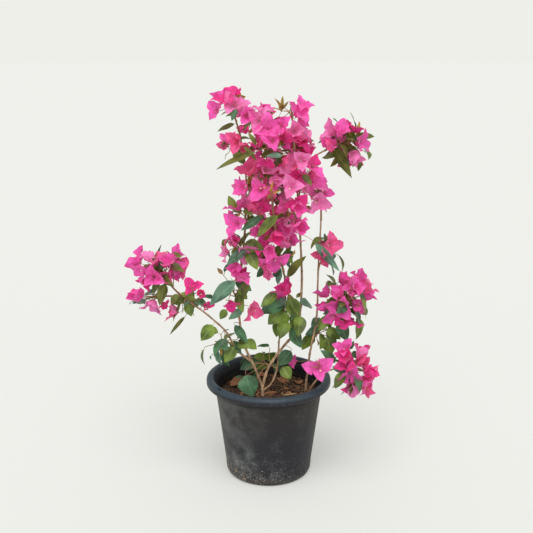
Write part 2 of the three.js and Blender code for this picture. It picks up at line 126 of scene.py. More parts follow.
HUSK_LUMP = ((-12, -24), (19, -15))
HUSK_RADII = (2.6, 3.6, 3.4, 3.8, 3.5, 3.7, 2.4)
HUSK_SIDES = 6
HUSK_LIFT = 3
HUSK_BOW = 2
# Fallen leaves: x, y and turn of each, then their lengths, and their width over their length.
FALLEN_LEAVES = ((24, 66, -24), (-92, 22, 40), (-66, 60, 200), (78, 34, 110), (-30, 92, 15))
FALLEN_LENGTHS = (26, 36)
FALLEN_SLIM = 0.7
FALLEN_LIFT = 5
FALLEN_RISE = 0.12
FALLEN_FACE = np.array([0, -0.35, 1])
FALLEN_STRAY = 0.2
FALLEN_BENDS = (0.2, 0.7)

# Limbs, stems and the spaces of masses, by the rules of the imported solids
JOINT_GAP = 0.3  # between a limb and what grows from it
FLARE_REACH = 9  # how far up a root flare fades
CANE_SLIM = 0.84  # the canes are drawn slimmer than the solids
CANE_ROW = 2.2  # length of one row along a cane
CANE_SIDES = 14
CANE_MEASURE = 60  # points of the line that gives a cane's length
NODE_REACH = 2.4  # how far from its node a swelling fades
NODE_SHIFT = 0.3  # how far chance moves a node, as a share of the spacing
NODE_TURN = 2.4  # from a node to the next, in radians
STEM_RADII = (2.6, 1.5)
STEM_SIDES = 7
STEM_BEND = 0.35  # share of a stem's way that it keeps to its limb's direction
STEM_OVERRUN = 0.3  # how far a stem runs past the middle, as a share of the least half size
SPACE_SHARE = 1.2  # how many times its half sizes a mass may spread towards open air
SPACE_GAP = 0.6  # between a mass's space and the wall to its neighbour
SPACE_SLACK = 8  # how far a spray may pass that wall
LIMB_MARGIN = 3  # between a spray and a limb
POT_MARGIN = 5  # between a leaf and the pot or potting mix
ROUTE_STEPS = 60  # points of a smooth line between two of its route, before they are evenly set
LIMB_POINTS = 121
STEM_POINTS = 41
STEM_STEP = 4  # points of a stem from one row of its tube to the next
CHAIN_POINTS = 17  # ends of the straight pieces that stand for a limb where distances are tested
CHAIN_STEP = 5  # points of a stem from one such end to the next
ATTEMPTS = 40  # places tried for each spray
GOLDEN_ANGLE = np.pi * (3 - np.sqrt(5))
UP = np.array([0, 0, 1.0])
SEED_START = 1000
SEED_STEP = 77
LITTER_SEED, BLOSSOM_SEED, FOLIAGE_SEED, SINGLES_SEED = (SEED_START - back for back in (1, 2, 3, 4))

Limb = namedtuple("Limb", "name radii route flare", defaults=(0,))
LIMBS = (
    Limb("root_crown", (4.4, 4.2), ((-15, -30, SOIL_LEVEL + JOINT_GAP), (-15, -30, 212),
                                    (-15, -29, 230)), 0.2),
    Limb("cane_left", (3.6, 2.2), ((-15, -29, 226), (-34, -34, 279), (-60, -38, 345), (-70, -24, 440),
                                   (-56, -10, 590), (-52, -12, 740), (-62, -26, 815))),
    Limb("cane_middle", (3.9, 2.3), ((-15, -29, 226), (0, -20, 272), (36, -10, 322), (66, 4, 358),
                                     (78, 12, 450), (72, 10, 610), (60, 6, 760), (56, 2, 820))),
    Limb("cane_leader", (2.7, 2), ((-14, -29, 216), (7, -22, 232), (21, -8, 268), (25, 2, 330),
                                     (40, 6, 459), (16, 12, 600), (2, 6, 720), (-8, 0, 800))),
    Limb("cane_outer", (3.2, 2.1), ((91, 4, SOIL_LEVEL + JOINT_GAP), (91, 4, 212), (100, 2, 303),
                                    (114, 10, 381), (117, 16, 503), (122, 22, 620)), 0.6),
    Limb("cane_low", (3, 2.2), ((94, -48, SOIL_LEVEL + JOINT_GAP), (94, -48, 210), (104, -60, 244),
                                (128, -68, 276), (156, -66, 288)), 0.5),
    Limb("arm_left", (3, 2.1), ((-38, -35, 290), (-76, -40, 326), (-99, -35, 366), (-148, -30, 411),
                                (-196, -25, 446))),
    Limb("arm_right", (2.7, 2), ((111, 7, 360), (126, 0, 385), (146, -6, 408))),
    Limb("arm_upper", (2.7, 2), ((62, 7, 735), (92, 6, 766), (126, 2, 786))),
)

# Masses of bracts and leaves: centre, half sizes, the limb each stem leaves and how far along it,
# the number of sprays tried, the share of them in bloom, and how leafy it is beside the others.
Mass = namedtuple("Mass", "name at half limb along sprays bloom leafy", defaults=(1,))
MASSES = tuple(Mass(*row) for row in (
    ("crest_left", (-84, -48, 889), (50, 46, 47), "cane_left", 1, 9, 0.95),
    ("crest_middle", (-14, -34, 856), (44, 42, 44), "cane_leader", 0.98, 7, 0.8),
    ("crest_right", (50, -12, 873), (54, 46, 45), "cane_middle", 1, 9, 0.85),
    ("crest_back", (-34, 52, 850), (54, 48, 44), "cane_leader", 0.94, 8, 0.9),
    ("upper_left", (-80, -62, 804), (50, 48, 44), "cane_left", 0.9, 7, 0.6),
    ("upper_front", (8, -72, 798), (58, 50, 50), "cane_leader", 0.9, 10, 0.9),
    ("upper_back", (50, 64, 780), (60, 52, 56), "cane_middle", 0.85, 10, 0.85),
    ("upper_arm", (174, 0, 804), (58, 52, 58), "arm_upper", 1, 9, 0.75),
    ("core_left", (-24, -64, 726), (60, 50, 54), "cane_left", 0.74, 10, 1),
    ("core_right", (76, -46, 738), (50, 48, 58), "cane_middle", 0.72, 9, 0.85),
    ("core_back", (10, 74, 698), (66, 54, 58), "cane_leader", 0.72, 10, 0.9),
    ("shoulder_right", (118, 42, 690), (42, 46, 66), "cane_outer", 1, 9, 0.95),
    ("waist_left", (-44, -58, 650), (58, 50, 46), "cane_left", 0.62, 9, 0.75),
    ("waist_right", (58, -66, 650), (52, 50, 52), "cane_middle", 0.6, 9, 0.9),
    ("waist_back", (10, 72, 602), (64, 52, 54), "cane_leader", 0.58, 9, 0.75),
    ("under_left", (-76, -48, 572), (50, 46, 46), "cane_left", 0.5, 7, 0.5),
    ("under_middle", (22, -50, 552), (58, 48, 60), "cane_leader", 0.5, 10, 0.75),
    ("under_right", (146, 26, 552), (44, 46, 52), "cane_outer", 0.72, 6, 0.6, 0.6),
    ("leaf_left", (-88, -56, 480), (54, 48, 58), "cane_left", 0.34, 7, 0.35, 0.6),
    ("leaf_middle", (54, -14, 430), (54, 50, 80), "cane_leader", 0.3, 10, 0.1, 0.7),
    ("leaf_low_left", (-112, -52, 346), (62, 48, 58), "arm_left", 0.28, 8, 0, 0.5),
    ("arm_left_tip", (-258, -20, 518), (74, 54, 54), "arm_left", 1, 12, 0.9),
    ("arm_left_under", (-296, -22, 438), (56, 48, 48), "arm_left", 0.96, 8, 0.8),
    ("arm_left_root", (-188, -24, 430), (52, 50, 60), "arm_left", 0.84, 7, 0.5),
    ("arm_right_spray", (182, -12, 438), (74, 58, 74), "arm_right", 1, 15, 0.7),
    ("leaf_right", (128, 24, 350), (46, 48, 60), "cane_outer", 0.3, 7, 0, 0.75),
    ("skirt_near", (112, -112, 316), (46, 44, 46), "cane_low", 0.62, 7, 0.7),
    ("skirt_far", (200, -58, 280), (56, 52, 74), "cane_low", 1, 12, 0.75),
    ("leaf_foot", (-16, -6, 272), (86, 78, 60), "cane_leader", 0.1, 9, 0, 0.3),
))
MOSTLY_BLOOM = 0.4

# Finer growth. The source's sprays are split again: a spray in bloom is a cyme of blooms, and one in leaf
# a leafy twig.
# Layers: how many sprays are tried for each of the mass's own, and how deep, as a share of the full depth.
COLUMN_FOOT = 600  # above this, and within this of the middle, the bush is a close column of blossom
COLUMN_REACH = 125
COLUMN_LAYERS = ((2, 1), (1, 0.62))
COLUMN_BLOOM = 0.1  # more of the column's sprays are in bloom than the source's share
BLOOM_LAYERS = ((1.1, 1), (0.3, 0.5))
LEAF_LAYERS = ((1, 1),)
SPRAY_REACH = 46
BLOOM_REACH = 56  # a spray in bloom ends deeper, since its blooms stand on stalks of their own
SPREAD = 0.98
REACH_SPREAD = 0.9  # share of the spread that counts for how far a spray reaches past its twig
SPRAY_SIZE = (0.9, 0.2)  # the least, and what chance adds
SPRAY_SHRINK = 0.01  # what each further attempt takes off
TURN_DRIFT = 0.2  # how far each further attempt strays from the spiral, in turn and in height
HEIGHT_DRIFT = 0.1
DEPTH_LEAST = 0.25  # share of the way out at which the shortest twig ends
DEPTH_FULL = 1.08  # share of the way out that the longest spray reaches
DEPTH_STEP = 0.02  # how much deeper each further attempt ends, as a share of the spray's reach
TWIG_FOOT = (0.4, 0.45)  # how far along its stem a twig starts: the least, and what chance adds
TWIG_FOOT_STEP = 0.006  # and what each further attempt adds
TWIG_FOOT_LAST = 0.98
AXIS_SHARES = (0.3, 0.8)  # how far a spray faces along its twig, and straight out of its mass
AXIS_LIFT = 0.15  # how far a spray in bloom turns up
TWIG_BEND = 0.55  # where a twig bends, as a share of its length, and how far it sags and lifts
TWIG_SAG = 8
TWIG_LIFT = 4
CYME_LEAST, CYME_MOST = 2, 3  # blooms at the end of one twig
CYME_SPLAY = 0.8
SPLAY_SHARES = (0.6, 1.2)
PEDICEL = 15
PEDICEL_SHARES = (0.75, 1.25)
PEDICEL_FOOT = 6  # how far a pedicel runs along the twig's own way
BLOOM_FACING = (0.25, np.array([0, -0.08, 0.12]))  # how far a bloom faces with its twig, and to the light
STALK_LEAN = 0.45  # how far behind a single leaf or bloom its stalk bends, as a share of the stalk
TWIG_ROWS = 7
TWIG_SIDES = 5
TWIG_TAPER = (1.25, 0.75)
FINE_TAPER = (0.75, 0.5)
FINE_SIDES = 4
PETIOLE = 11
PETIOLE_RISE = 0.35
BLOOM_SPACING = 19
SPRAY_SPACING = 17
BLOOM_HALF = 22  # how far a bloom reaches to each side of its root, in its mass's box
BLOOM_AHEAD = 17  # and how much further the way it faces
BLOOM_INSET = 31  # how far a bloom's root stays inside the bush's own box
# Balls that leaves keep clear of: the foot of the root crown, the near right of the rim, and places
# where the photograph shows sky, or one leaf or bloom by itself.
BARE = (((-15, -46, 224), 54), ((96, -118, 270), 42), ((130, -118, 262), 42), ((114, -84, 268), 40),
        ((-104, -62, 474), 34), ((134, -14, 552), 30), ((102, -145, 300), 30), ((100, -96, 306), 40),
        ((-188, -44, 402), 28), ((-205, -5, 392), 26), ((-108, -100, 772), 14), ((-307, -40, 464), 12),
        ((-145, -77, 330), 9), ((52, -35, 270), 9))
# Balls that the sprays' blooms keep clear of, where the single blooms take their place.
BLOOM_FREE = (((176, -60, 244), 26), ((172, -50, 290), 30), ((118, -104, 322), 32), ((-186, -28, 432), 38),
              ((-300, -24, 430), 42), ((-300, -24, 534), 12), ((45, -10, 880), 24), ((46, -60, 545), 34),
              ((38, -56, 492), 28), ((-112, -62, 806), 24), ((-92, -50, 898), 10), ((-52, -73, 745), 10))
FULL_LEAF = 52
LEAF_SLIM = 0.6  # a full leaf's width over its length
YOUNG_SLIM = 0.72  # a young leaf's slimness beside a full one's
LEAF_SIZES = (0.7, 1.15)
LEAF_BENDS = (0.15, 1)
LEAF_HANGS = (0.2, 0.9)
COLUMN_HANG = 0.7  # leaves hang less in the column
YOUNG_HANG = -0.25  # and young ones stand up
LEAF_INSET = 14  # how far a leaf's root stays inside the bush's own box
LEAF_OUTWARD = 0.8  # how far a leaf's face turns outwards, and how far chance turns it
LEAF_STRAY = 0.3
LEAF_SHIFT = 0.05  # how far chance moves a leaf along its twig, as a share, and round it, in radians
LEAF_TURN = 0.4

# Leaves: how many a twig may carry, the share that it does, the part of the twig they stand on, how far
# they lean along it, and their size.
Foliage = namedtuple("Foliage", "each share span lean size young", defaults=(False,))
COLUMN_BLOOM_LEAVES = (Foliage(2, 0.2, (0.3, 0.85), 0.35, 0.6), Foliage(1, 0.3, (1, 1), 0.9, 0.34, True))
COLUMN_TWIG_LEAVES = (Foliage(4, 0.6, (0.3, 1), 0.6, 0.7), Foliage(2, 0.5, (1, 1), 1.4, 0.4, True))
LOW_BLOOM_LEAVES = (Foliage(2, 0.55, (0.3, 0.85), 0.4, 0.78), Foliage(1, 0.5, (1, 1), 0.9, 0.36, True))
LOW_TWIG_LEAVES = (Foliage(4, 0.7, (0.25, 1), 0.5, 0.92), Foliage(2, 0.5, (1, 1), 1.4, 0.42, True))

GREEN, OLIVE, BLUE, YOUNG, TEAL = range(5)
# How the shades are dealt out to grown leaves: where each one's share ends, and the shade.
YOUNG_SHADES = ((0.35, BLUE), (0.6, OLIVE), (1, YOUNG))
LOW_SHADES = ((0.5, GREEN), (0.76, BLUE), (0.88, OLIVE), (1, TEAL))
COLUMN_SHADES = ((0.4, GREEN), (0.8, OLIVE), (0.9, BLUE), (1, YOUNG))
# Leaves that stand out by themselves: root, tip, width over length, and shade.
SINGLE_LEAVES = (
    ((-75, -92, 505), (-136, -100, 453), 0.42, TEAL),
    ((-51, -75, 574), (-96, -92, 546), 0.42, TEAL),
    ((-51, -80, 503), (-58, -88, 465), 0.5, OLIVE),
    ((18, -40, 463), (-19, -60, 437), 0.5, GREEN),
    ((33, -30, 419), (-2, -48, 390), 0.75, GREEN),
    ((22, -20, 389), (18, -30, 351), 0.6, GREEN),
    ((48, -30, 447), (68, -40, 399), 0.7, GREEN),
    ((43, -40, 503), (83, -70, 560), 0.3, OLIVE),
    ((107, -30, 578), (163, -45, 516), 0.24, TEAL),
    ((-129, -60, 391), (-156, -75, 359), 0.72, GREEN),
    ((-80, -60, 338), (-102, -80, 308), 0.7, GREEN),
    ((-53, -40, 348), (-27, -40, 325), 0.7, GREEN),
    ((-78, -60, 391), (-48, -65, 349), 0.42, BLUE),
    ((-61, -60, 429), (-92, -75, 411), 0.5, TEAL),
    ((-98, -50, 426), (-113, -55, 404), 0.7, GREEN),
    ((-53, -70, 271), (-38, -96, 229), 0.95, BLUE),
    ((-36, 40, 274), (4, 60, 268), 0.5, GREEN),
    ((-39, 20, 261), (0, 30, 252), 0.5, GREEN),
    ((53, -20, 313), (24, -30, 280), 0.75, BLUE),
    ((34, -30, 276), (52, -50, 254), 0.85, GREEN),
    ((52, -20, 369), (78, -35, 327), 0.6, BLUE),
    ((139, -10, 395), (116, -25, 365), 0.6, GREEN),
    ((139, -15, 367), (171, -25, 345), 0.65, GREEN),
    ((139, -20, 347), (148, -35, 307), 0.75, GREEN),
    ((164, -30, 392), (186, -45, 346), 0.6, BLUE),
    ((155, -62, 302), (121, -70, 335), 0.5, BLUE),
    ((175, -80, 280), (152, -100, 253), 0.65, GREEN),
    ((-238, -44, 486), (-252, -64, 441), 0.5, OLIVE),
    ((-196, -30, 402), (-234, -40, 361), 0.18, OLIVE),
    ((-200, -50, 466), (-165, -50, 449), 0.42, GREEN),
    ((-30, -110, 797), (-119, -104, 764), 0.17, OLIVE),
    ((-18, -108, 657), (-61, -116, 627), 0.34, BLUE),
    ((19, -108, 659), (-28, -118, 613), 0.42, GREEN),
    ((-75, -66, 852), (-113, -70, 838), 0.36, OLIVE),
    ((141, -12, 800), (192, -12, 726), 0.3, OLIVE),
    ((-52, -100, 807), (-25, -110, 778), 0.34, OLIVE),
    ((28, -112, 790), (-8, -116, 792), 0.38, TEAL),
    ((-28, -100, 812), (-42, -106, 838), 0.42, OLIVE),
    ((74, -84, 745), (94, -92, 722), 0.5, OLIVE),
    ((-69, -96, 886), (-80, -102, 862), 0.5, BLUE),
    ((-204, -48, 460), (-226, -58, 440), 0.75, OLIVE),
    ((-188, -42, 436), (-178, -54, 411), 0.8, GREEN),
    ((150, -72, 294), (187, -86, 286), 0.5, TEAL),
    ((170, -66, 296), (150, -80, 316), 0.55, GREEN),
)
# Blooms that stand out by themselves: root, the way they face, size, and place among the tints.
# The deep tint is partly painted shade: some single blooms that stand in shade are given it.
BRIGHT, DEEP, PALE, CORAL, ANY = 0.2, 0.55, 0.74, 0.92, -1
Bloom = namedtuple("Bloom", "root facing size tint", defaults=(ANY,))
SINGLE_BLOOMS = tuple(Bloom(*row) for row in (
    ((-42, -48, 430), (0.55, -0.75, -0.35), 0.95),
    ((-60, -62, 530), (-0.9, -0.4, 0.1), 0.95),
    ((111, -100, 302), (0.05, -0.97, 0.15), 1.05, BRIGHT),
    ((176, -60, 332), (-0.2, -0.6, 0.6), 0.9),
    ((205, -62, 300), (0.55, -0.6, 0.5), 1.05),
    ((192, -64, 254), (0.2, -0.8, -0.45), 1.15),
    ((66, -12, 284), (-0.6, -0.6, 0.2), 0.6),
    ((-208, -42, 417), (-0.95, -0.25, 0.1), 0.9),
    ((-266, -36, 446), (-0.2, -0.6, -0.75), 1, PALE),
    ((-16, -98, 712), (-0.3, -0.9, 0.2), 1, BRIGHT),
    ((48, -94, 716), (0.1, -0.9, 0.4), 0.95, PALE),
    ((58, -98, 682), (0.3, -0.9, -0.2), 0.9, BRIGHT),
    ((-46, -88, 716), (-0.7, -0.6, 0.2), 1, BRIGHT),
    ((14, -96, 622), (0.1, -0.8, -0.4), 1, DEEP),
    ((4, -90, 590), (-0.1, -0.7, -0.6), 1, BRIGHT),
    ((8, -74, 560), (0.1, -0.8, -0.5), 1.15, BRIGHT),
    ((60, -84, 636), (0.3, -0.95, -0.05), 1.35, BRIGHT),
    ((-66, -76, 634), (-0.5, -0.8, 0.15), 1, BRIGHT),
    ((-76, -62, 886), (0.1, -0.6, 0.75), 1, PALE),
    ((-108, -60, 880), (-0.6, -0.7, 0.2), 0.75, BRIGHT),
    ((-48, -62, 870), (0.1, -0.9, 0.1), 0.95, BRIGHT),
    ((-20, -64, 858), (0, -0.9, 0.2), 0.9, PALE),
    ((60, -40, 864), (0.4, -0.5, 0.75), 1.1, BRIGHT),
    ((44, -44, 866), (-0.15, -0.85, 0.4), 0.9, BRIGHT),
    ((57, -50, 876), (0, -0.8, 0.5), 1, PALE),
    ((53, -54, 836), (0.1, -0.9, 0.2), 1),
    ((24, -62, 846), (0, -0.9, 0.3), 0.9, BRIGHT),
    ((54, -58, 864), (0.1, -0.95, 0), 0.85, BRIGHT),
    ((70, -80, 776), (0.1, -0.9, 0.2), 0.8, PALE),
    ((100, -26, 722), (0.4, -0.85, 0.1), 1, BRIGHT),
    ((106, -24, 680), (0.4, -0.8, -0.3), 1, PALE),
    ((-2, -74, 840), (-0.1, -0.9, 0.3), 1),
    ((-62, -92, 818), (-0.4, -0.85, 0.1), 1, CORAL),
    ((-10, -52, 866), (-0.6, -0.5, 0.6), 0.75, CORAL),
    ((147, -26, 800), (-0.6, -0.7, 0.2), 1),
    ((160, -22, 822), (-0.1, -0.6, 0.75), 0.95, BRIGHT),
    ((138, -12, 570), (0.45, -0.8, 0.1), 1, CORAL),
    ((126, -22, 545), (0.15, -0.8, -0.3), 0.6, CORAL),
    ((-156, -46, 462), (0.1, -0.8, 0.3), 0.7, DEEP),
    ((-174, -44, 474), (-0.2, -0.6, 0.6), 0.75, DEEP),
    ((-146, -46, 440), (0.4, -0.8, -0.2), 0.55, DEEP),
    ((-288, -38, 462), (-0.75, -0.65, 0.15), 1.3, BRIGHT),
    ((-246, -34, 440), (0.3, -0.6, -0.6), 0.6, DEEP),
    ((-280, -42, 516), (-0.9, -0.35, -0.05), 1, BRIGHT),
    ((-232, -42, 527), (0.1, -0.6, 0.75), 1.1, BRIGHT),
    ((-262, -44, 504), (-0.1, -0.95, 0.1), 1, BRIGHT),
))
# Shoots of narrow young leaves: root and tip of each, and its number of leaves.
Shoot = namedtuple("Shoot", "root tip leaves")
SHOOTS = (
    Shoot((26, -50, 852), (28, -64, 886), 9),
    Shoot((170, -8, 806), (192, -12, 818), 4),
    Shoot((10, -100, 690), (6, -112, 712), 6),
)
SHOOT_LEANS = (0.35, 1.35)  # how far the first and last leaf lean from the shoot
SHOOT_TOP = 9  # length of shoot that carries the leaves
SHOOT_SIZES = (0.36, 0.6)
SHOOT_BENDS = (0.1, 0.6)
SHOOT_SLIM = 0.28
SINGLE_FACE = np.array([0, -0.75, 0.66])  # a single leaf's face turns forwards and up
SINGLE_STRAY = 0.15
SINGLE_BENDS = (0.05, 0.35)

# Blooms and true flowers. A bloom's openness, from about 0 to 1, says how far its bracts spread and bend
# back: each pair is the least and what openness adds. A drift is how far chance moves one bract.
BRACT_SPREAD = (0.22, 0.62)
BRACT_BEND = (-0.35, 1.65)
OPENNESS_DRIFT = 0.12
BEND_DRIFT = 0.25
TURN_MOST = 0.25
TINT_DRIFT = 0.025
BRACT_SIZES = (0.84, 1.12)
BRACT_ROOT = 1.2  # how far from the middle of its bloom a bract starts
OPENNESS = (2, 1.6)  # the two powers of the beta distribution that openness is drawn from
FLOWER_SHARE = 0.7  # of the places for true flowers that carry one
FLOWER_LENGTHS = (8, 16)
FLOWER_LEAN = 0.3
FLOWER_ROOT = 1.5  # how far from the middle of its bloom a flower starts
FLOWER_BOW = 0.6
FLOWER_SIDES = 5
OPEN_SHARE = 0.14  # of the true flowers
OPEN_RADII = (0.8, 1, 0.8, 0.8, 1.1)
BUD_RADII = (0.7, 0.9, 0.9, 1.1, 0.5)
MOUTH_RADIUS = 2.7
THROAT_RADIUS = 0.3
MOUTH_LIFTS = (0.2, 1.3)  # of the throat and of the mouth's rim
MOUTH_POINTS = 10

Blade = namedtuple("Blade", "rows columns rise fall fold cup wave waves bend_power twist")
BRACT = Blade(rows=11, columns=7, rise=0.78, fall=1.16, fold=0.26, cup=0.12, wave=0.3, waves=2.1,
              bend_power=1.5, twist=0.4)
LEAF = Blade(rows=9, columns=5, rise=0.66, fall=1.08, fold=0.26, cup=0.05, wave=0.10, waves=1.3,
             bend_power=1.2, twist=0.3)
BASE_SHARE = 0.012  # of a blade's length: keeps its root and tip from closing to a point
TIP_SHARE = 0.004

# Stage. The camera stands where the photograph was taken from. Each light is a distant one: its name, how
# far it is turned from straight down, how wide it is and its tint.
CAMERA_AT = (-5, -1919, 1030)
CAMERA_DOWN = 15  # degrees below level
CAMERA_LENS = 57.41
SENSOR_WIDTH = 36
FLOOR_RINGS = (0.01, 1, 4, 38)  # metres
FLOOR_COLUMNS = 64
FLOOR_GLOW = 0.3
SURROUND_TINT = "#FAFBF8"
Light = namedtuple("Light", "name turn softness tint")
LIGHTS = (Light("key", 26, 46, "#FFFDFA"), Light("fill", 72, 90, "#FCFCFF"))


def linear(colour):
    """Turns an sRGB hex colour such as "#3A3B3D" into the linear red, green and blue that shaders take."""
    shares = [int(colour[i:i + 2], 16) / 255 for i in (1, 3, 5)]
    return tuple(c / 12.92 if c <= 0.04045 else ((c + 0.055) / 1.055) ** 2.4 for c in shares)


def length_of(name, millimetres, description):
    """A size that the user can change, kept in metres."""
    return bpy.props.FloatProperty(name=name, description=description, default=millimetres * MM, min=0,
                                   precision=5, unit="LENGTH")


def count_of(name, number, description):
    """A whole number that the user can change."""
    return bpy.props.IntProperty(name=name, description=description, default=number, min=0)


def share_of(name, share, description):
    """A plain number that the user can change."""
    return bpy.props.FloatProperty(name=name, description=description, default=share, min=0)


def colour_of(name, colour, description):
    """A colour that the user can change, given as sRGB hex."""
    return bpy.props.FloatVectorProperty(name=name, description=description, default=linear(colour),
                                         subtype="COLOR", size=3, min=0, max=1)


class PotSettings(bpy.types.PropertyGroup):
    ridge_pitch: length_of("Ridge Pitch", 4.8, "Height of one moulded ridge of the wall")
    ridge_depth: length_of("Ridge Depth", 0.8, "How far a ridge stands out")
    wall_colour: colour_of("Wall", "#1E1E24", "Charcoal plastic of the wall")
    # Slate laid only on the rim's top: partly the plastic's own colour, partly painted light on the lit top.
    rim_slate_and_painted_light: colour_of("Rim", "#2F3B45", "Smooth slate plastic of the rim")
    # Dry earth, which also lightens the pot's flanks together with painted sheen.
    dust_and_sheen_colour: colour_of("Dust", "#6E5F4E", "Dry earth on the wall")
    smear_colour: colour_of("Smear", "#7A7C7A", "Chalky water marks on the wall")


class MixSettings(bpy.types.PropertyGroup):
    bark_chips: count_of("Bark Chips", 430, "Number of dark bark chips in the potting mix")
    husk_chips: count_of("Husk Chips", 90, "Number of husk chips on the potting mix")
    fibres: count_of("Fibres", 300, "Number of loose fibres on the potting mix")
    dark_colour: colour_of("Dark Mix", "#1E1610", "Damp potting mix in the hollows")
    light_colour: colour_of("Light Mix", "#5C4234", "Drier potting mix on the lumps")
    bark_colour: colour_of("Bark Chips", "#5A4030", "Dark bark chips")
    husk_colour: colour_of("Husk", "#9C6E4C", "Coconut husk chips")
    fibre_colour: colour_of("Fibre", "#BFA27C", "Loose coir fibres and dry sticks")


class WoodSettings(bpy.types.PropertyGroup):
    node_spacing: length_of("Node Spacing", 31, "Distance between two leaf nodes of a cane")
    node_swell: share_of("Node Swell", 0.3, "How far a node stands out, as a share of the radius")
    bark_colour: colour_of("Bark", "#BC9C7C", "Tan bark of the canes")
    furrow_colour: colour_of("Furrows", "#7C604A", "Furrows and nodes of the bark")
    twig_colour: colour_of("Twigs", "#988650", "Young twigs and petioles")
    blush_colour: colour_of("Twig Blush", "#9C6450", "Reddish side of young twigs")


class BlossomSettings(bpy.types.PropertyGroup):
    bract_length: length_of("Bract Length", 41, "Length of a bract along its midrib")
    bract_width: length_of("Bract Width", 30, "Width of a bract")
    bright_colour: colour_of("Bright", "#FC5EB8", "Bracts at their prime")
    deep_colour: colour_of("Deep", "#E6348F", "Young bracts and those in shade")
    pale_colour: colour_of("Pale", "#FC80C0", "Bracts that have begun to fade")
    coral_colour: colour_of("Coral", "#F65A9A", "Bracts with a coral flush")
    tube_colour: colour_of("Tubes", "#C48A86", "Tubes of the true flowers")
    mouth_colour: colour_of("Mouths", "#EFE9C8", "Cream mouths of the true flowers")


class LeafSettings(bpy.types.PropertyGroup):
    leaf_length: length_of("Leaf Length", FULL_LEAF, "Length of a full leaf")
    leaf_fullness: share_of("Leaf Fullness", 1, "How many times as wide as usual the leaves are")
    green_colour: colour_of("Green", "#6A7E34", "Full leaves")
    olive_colour: colour_of("Olive", "#62682C", "Leaves near the blossom")
    blue_colour: colour_of("Blue Green", "#456C4A", "Old glossy leaves")
    young_colour: colour_of("Young", "#A8863E", "Bronze young leaves")
    teal_colour: colour_of("Teal", "#587A62", "Leaves that show their pale bloom")


class StageSettings(bpy.types.PropertyGroup):
    floor_colour: colour_of("Floor", "#B9BAB8", "Plain pale floor")
    backdrop_colour: colour_of("Backdrop", "#EEEFE9", "Backdrop behind the floor")
    key_strength: share_of("Key Strength", 1.7, "Strength of the soft light from above the camera")
    fill_strength: share_of("Fill Strength", 0.95, "Strength of the soft light from the front")
    sky_strength: share_of("Surround Strength", 0.7, "Strength of the even light from all round")


def unit(a):
    """Each vector over its own length."""
    return a / np.maximum(np.linalg.norm(a, axis=-1, keepdims=True), 1e-9)


def square_to(axis, vector):
    """The part of vectors that lies square to unit axes, as unit vectors."""
    return unit(vector - (vector * axis).sum(-1, keepdims=True) * axis)


def turns(count):
    """The angles of count even steps round a circle."""
    return 2 * np.pi * np.arange(count) / count


def around(axis, side, angle):
    """Unit directions across each axis, turned from a side of it by each angle: cos a times the side plus
    sin a times the cross product of the axis and the side."""
    across = np.cross(axis, side)
    return np.cos(angle)[..., None] * side[..., None, :] + np.sin(angle)[..., None] * across[..., None, :]


def eased(x):
    """A smooth step from 0 to 1: 3x^2 - 2x^3."""
    x = np.clip(x, 0, 1)
    return x * x * (3 - 2 * x)


def hashed(i, j):
    """A number from 0 to 1 for each pair of numbers: the fraction of a large sine of their weighted sum."""
    return (np.sin(i * 127.1 + j * 311.7) * 43758.5453) % 1


def lumps(x, y, cell):
    """Smooth lumps from 0 to 1: hashed numbers at the corners of square cells, eased from one to another."""
    u, v = x / cell, y / cell
    i, j = np.floor(u), np.floor(v)
    a, b = eased(u - i), eased(v - j)
    near = hashed(i, j) * (1 - a) + hashed(i + 1, j) * a
    far = hashed(i, j + 1) * (1 - a) + hashed(i + 1, j + 1) * a
    return near * (1 - b) + far * b


def evenly(line, count):
    """The line's points again, count of them, at even distances along it."""
    along = np.concatenate([[0], np.cumsum(np.linalg.norm(np.diff(line, axis=0), axis=1))])
    wanted = np.linspace(0, along[-1], count)
    return np.stack([np.interp(wanted, along, line[:, k]) for k in range(3)], axis=1)


def smooth_line(route, count):
    """A centripetal Catmull-Rom line: between two points it is the cubic whose end slopes weigh the
    neighbouring chords by the square root of their lengths. It comes back as count even points."""
    points = np.asarray(route, float)
    points = np.vstack([2 * points[0] - points[1], points, 2 * points[-1] - points[-2]])
    gap = np.sqrt(np.linalg.norm(np.diff(points, axis=0), axis=1))[:, None]
    before, over, after = gap[:-2], gap[1:-1], gap[2:]
    p0, p1, p2, p3 = points[:-3], points[1:-2], points[2:-1], points[3:]
    leave = over * ((p1 - p0) / before - (p2 - p0) / (before + over) + (p2 - p1) / over)
    reach = over * ((p2 - p1) / over - (p3 - p1) / (over + after) + (p3 - p2) / after)
    t = np.linspace(0, 1, ROUTE_STEPS, endpoint=False)[:, None, None]
    cubic = p1 + leave * t + (3 * (p2 - p1) - 2 * leave - reach) * t**2
    cubic = cubic + (2 * (p1 - p2) + leave + reach) * t**3
    line = np.vstack([cubic.transpose(1, 0, 2).reshape(-1, 3), points[-2]])
    return evenly(line, count)


def bezier(a, b, c, count):
    """Quadratic curves from a to c that lean towards b: (1-t)^2 a + 2t(1-t) b + t^2 c."""
    t = np.linspace(0, 1, count)[:, None]
    a, b, c = (np.asarray(p, float)[..., None, :] for p in (a, b, c))
    return (1 - t) ** 2 * a + 2 * t * (1 - t) * b + t**2 * c


def grid_faces(rows, columns, closed, copies=1):
    """Four-cornered faces of a grid, or of several like grids one after another."""
    wide = columns if closed else columns - 1
    row, column = np.meshgrid(np.arange(rows - 1), np.arange(wide), indexing="ij")
    following = (column + 1) % columns
    one = np.stack([row * columns + column, row * columns + following,
                    (row + 1) * columns + following, (row + 1) * columns + column], axis=-1).reshape(-1, 4)
    return (one + (np.arange(copies) * rows * columns)[:, None, None]).reshape(-1, 4)


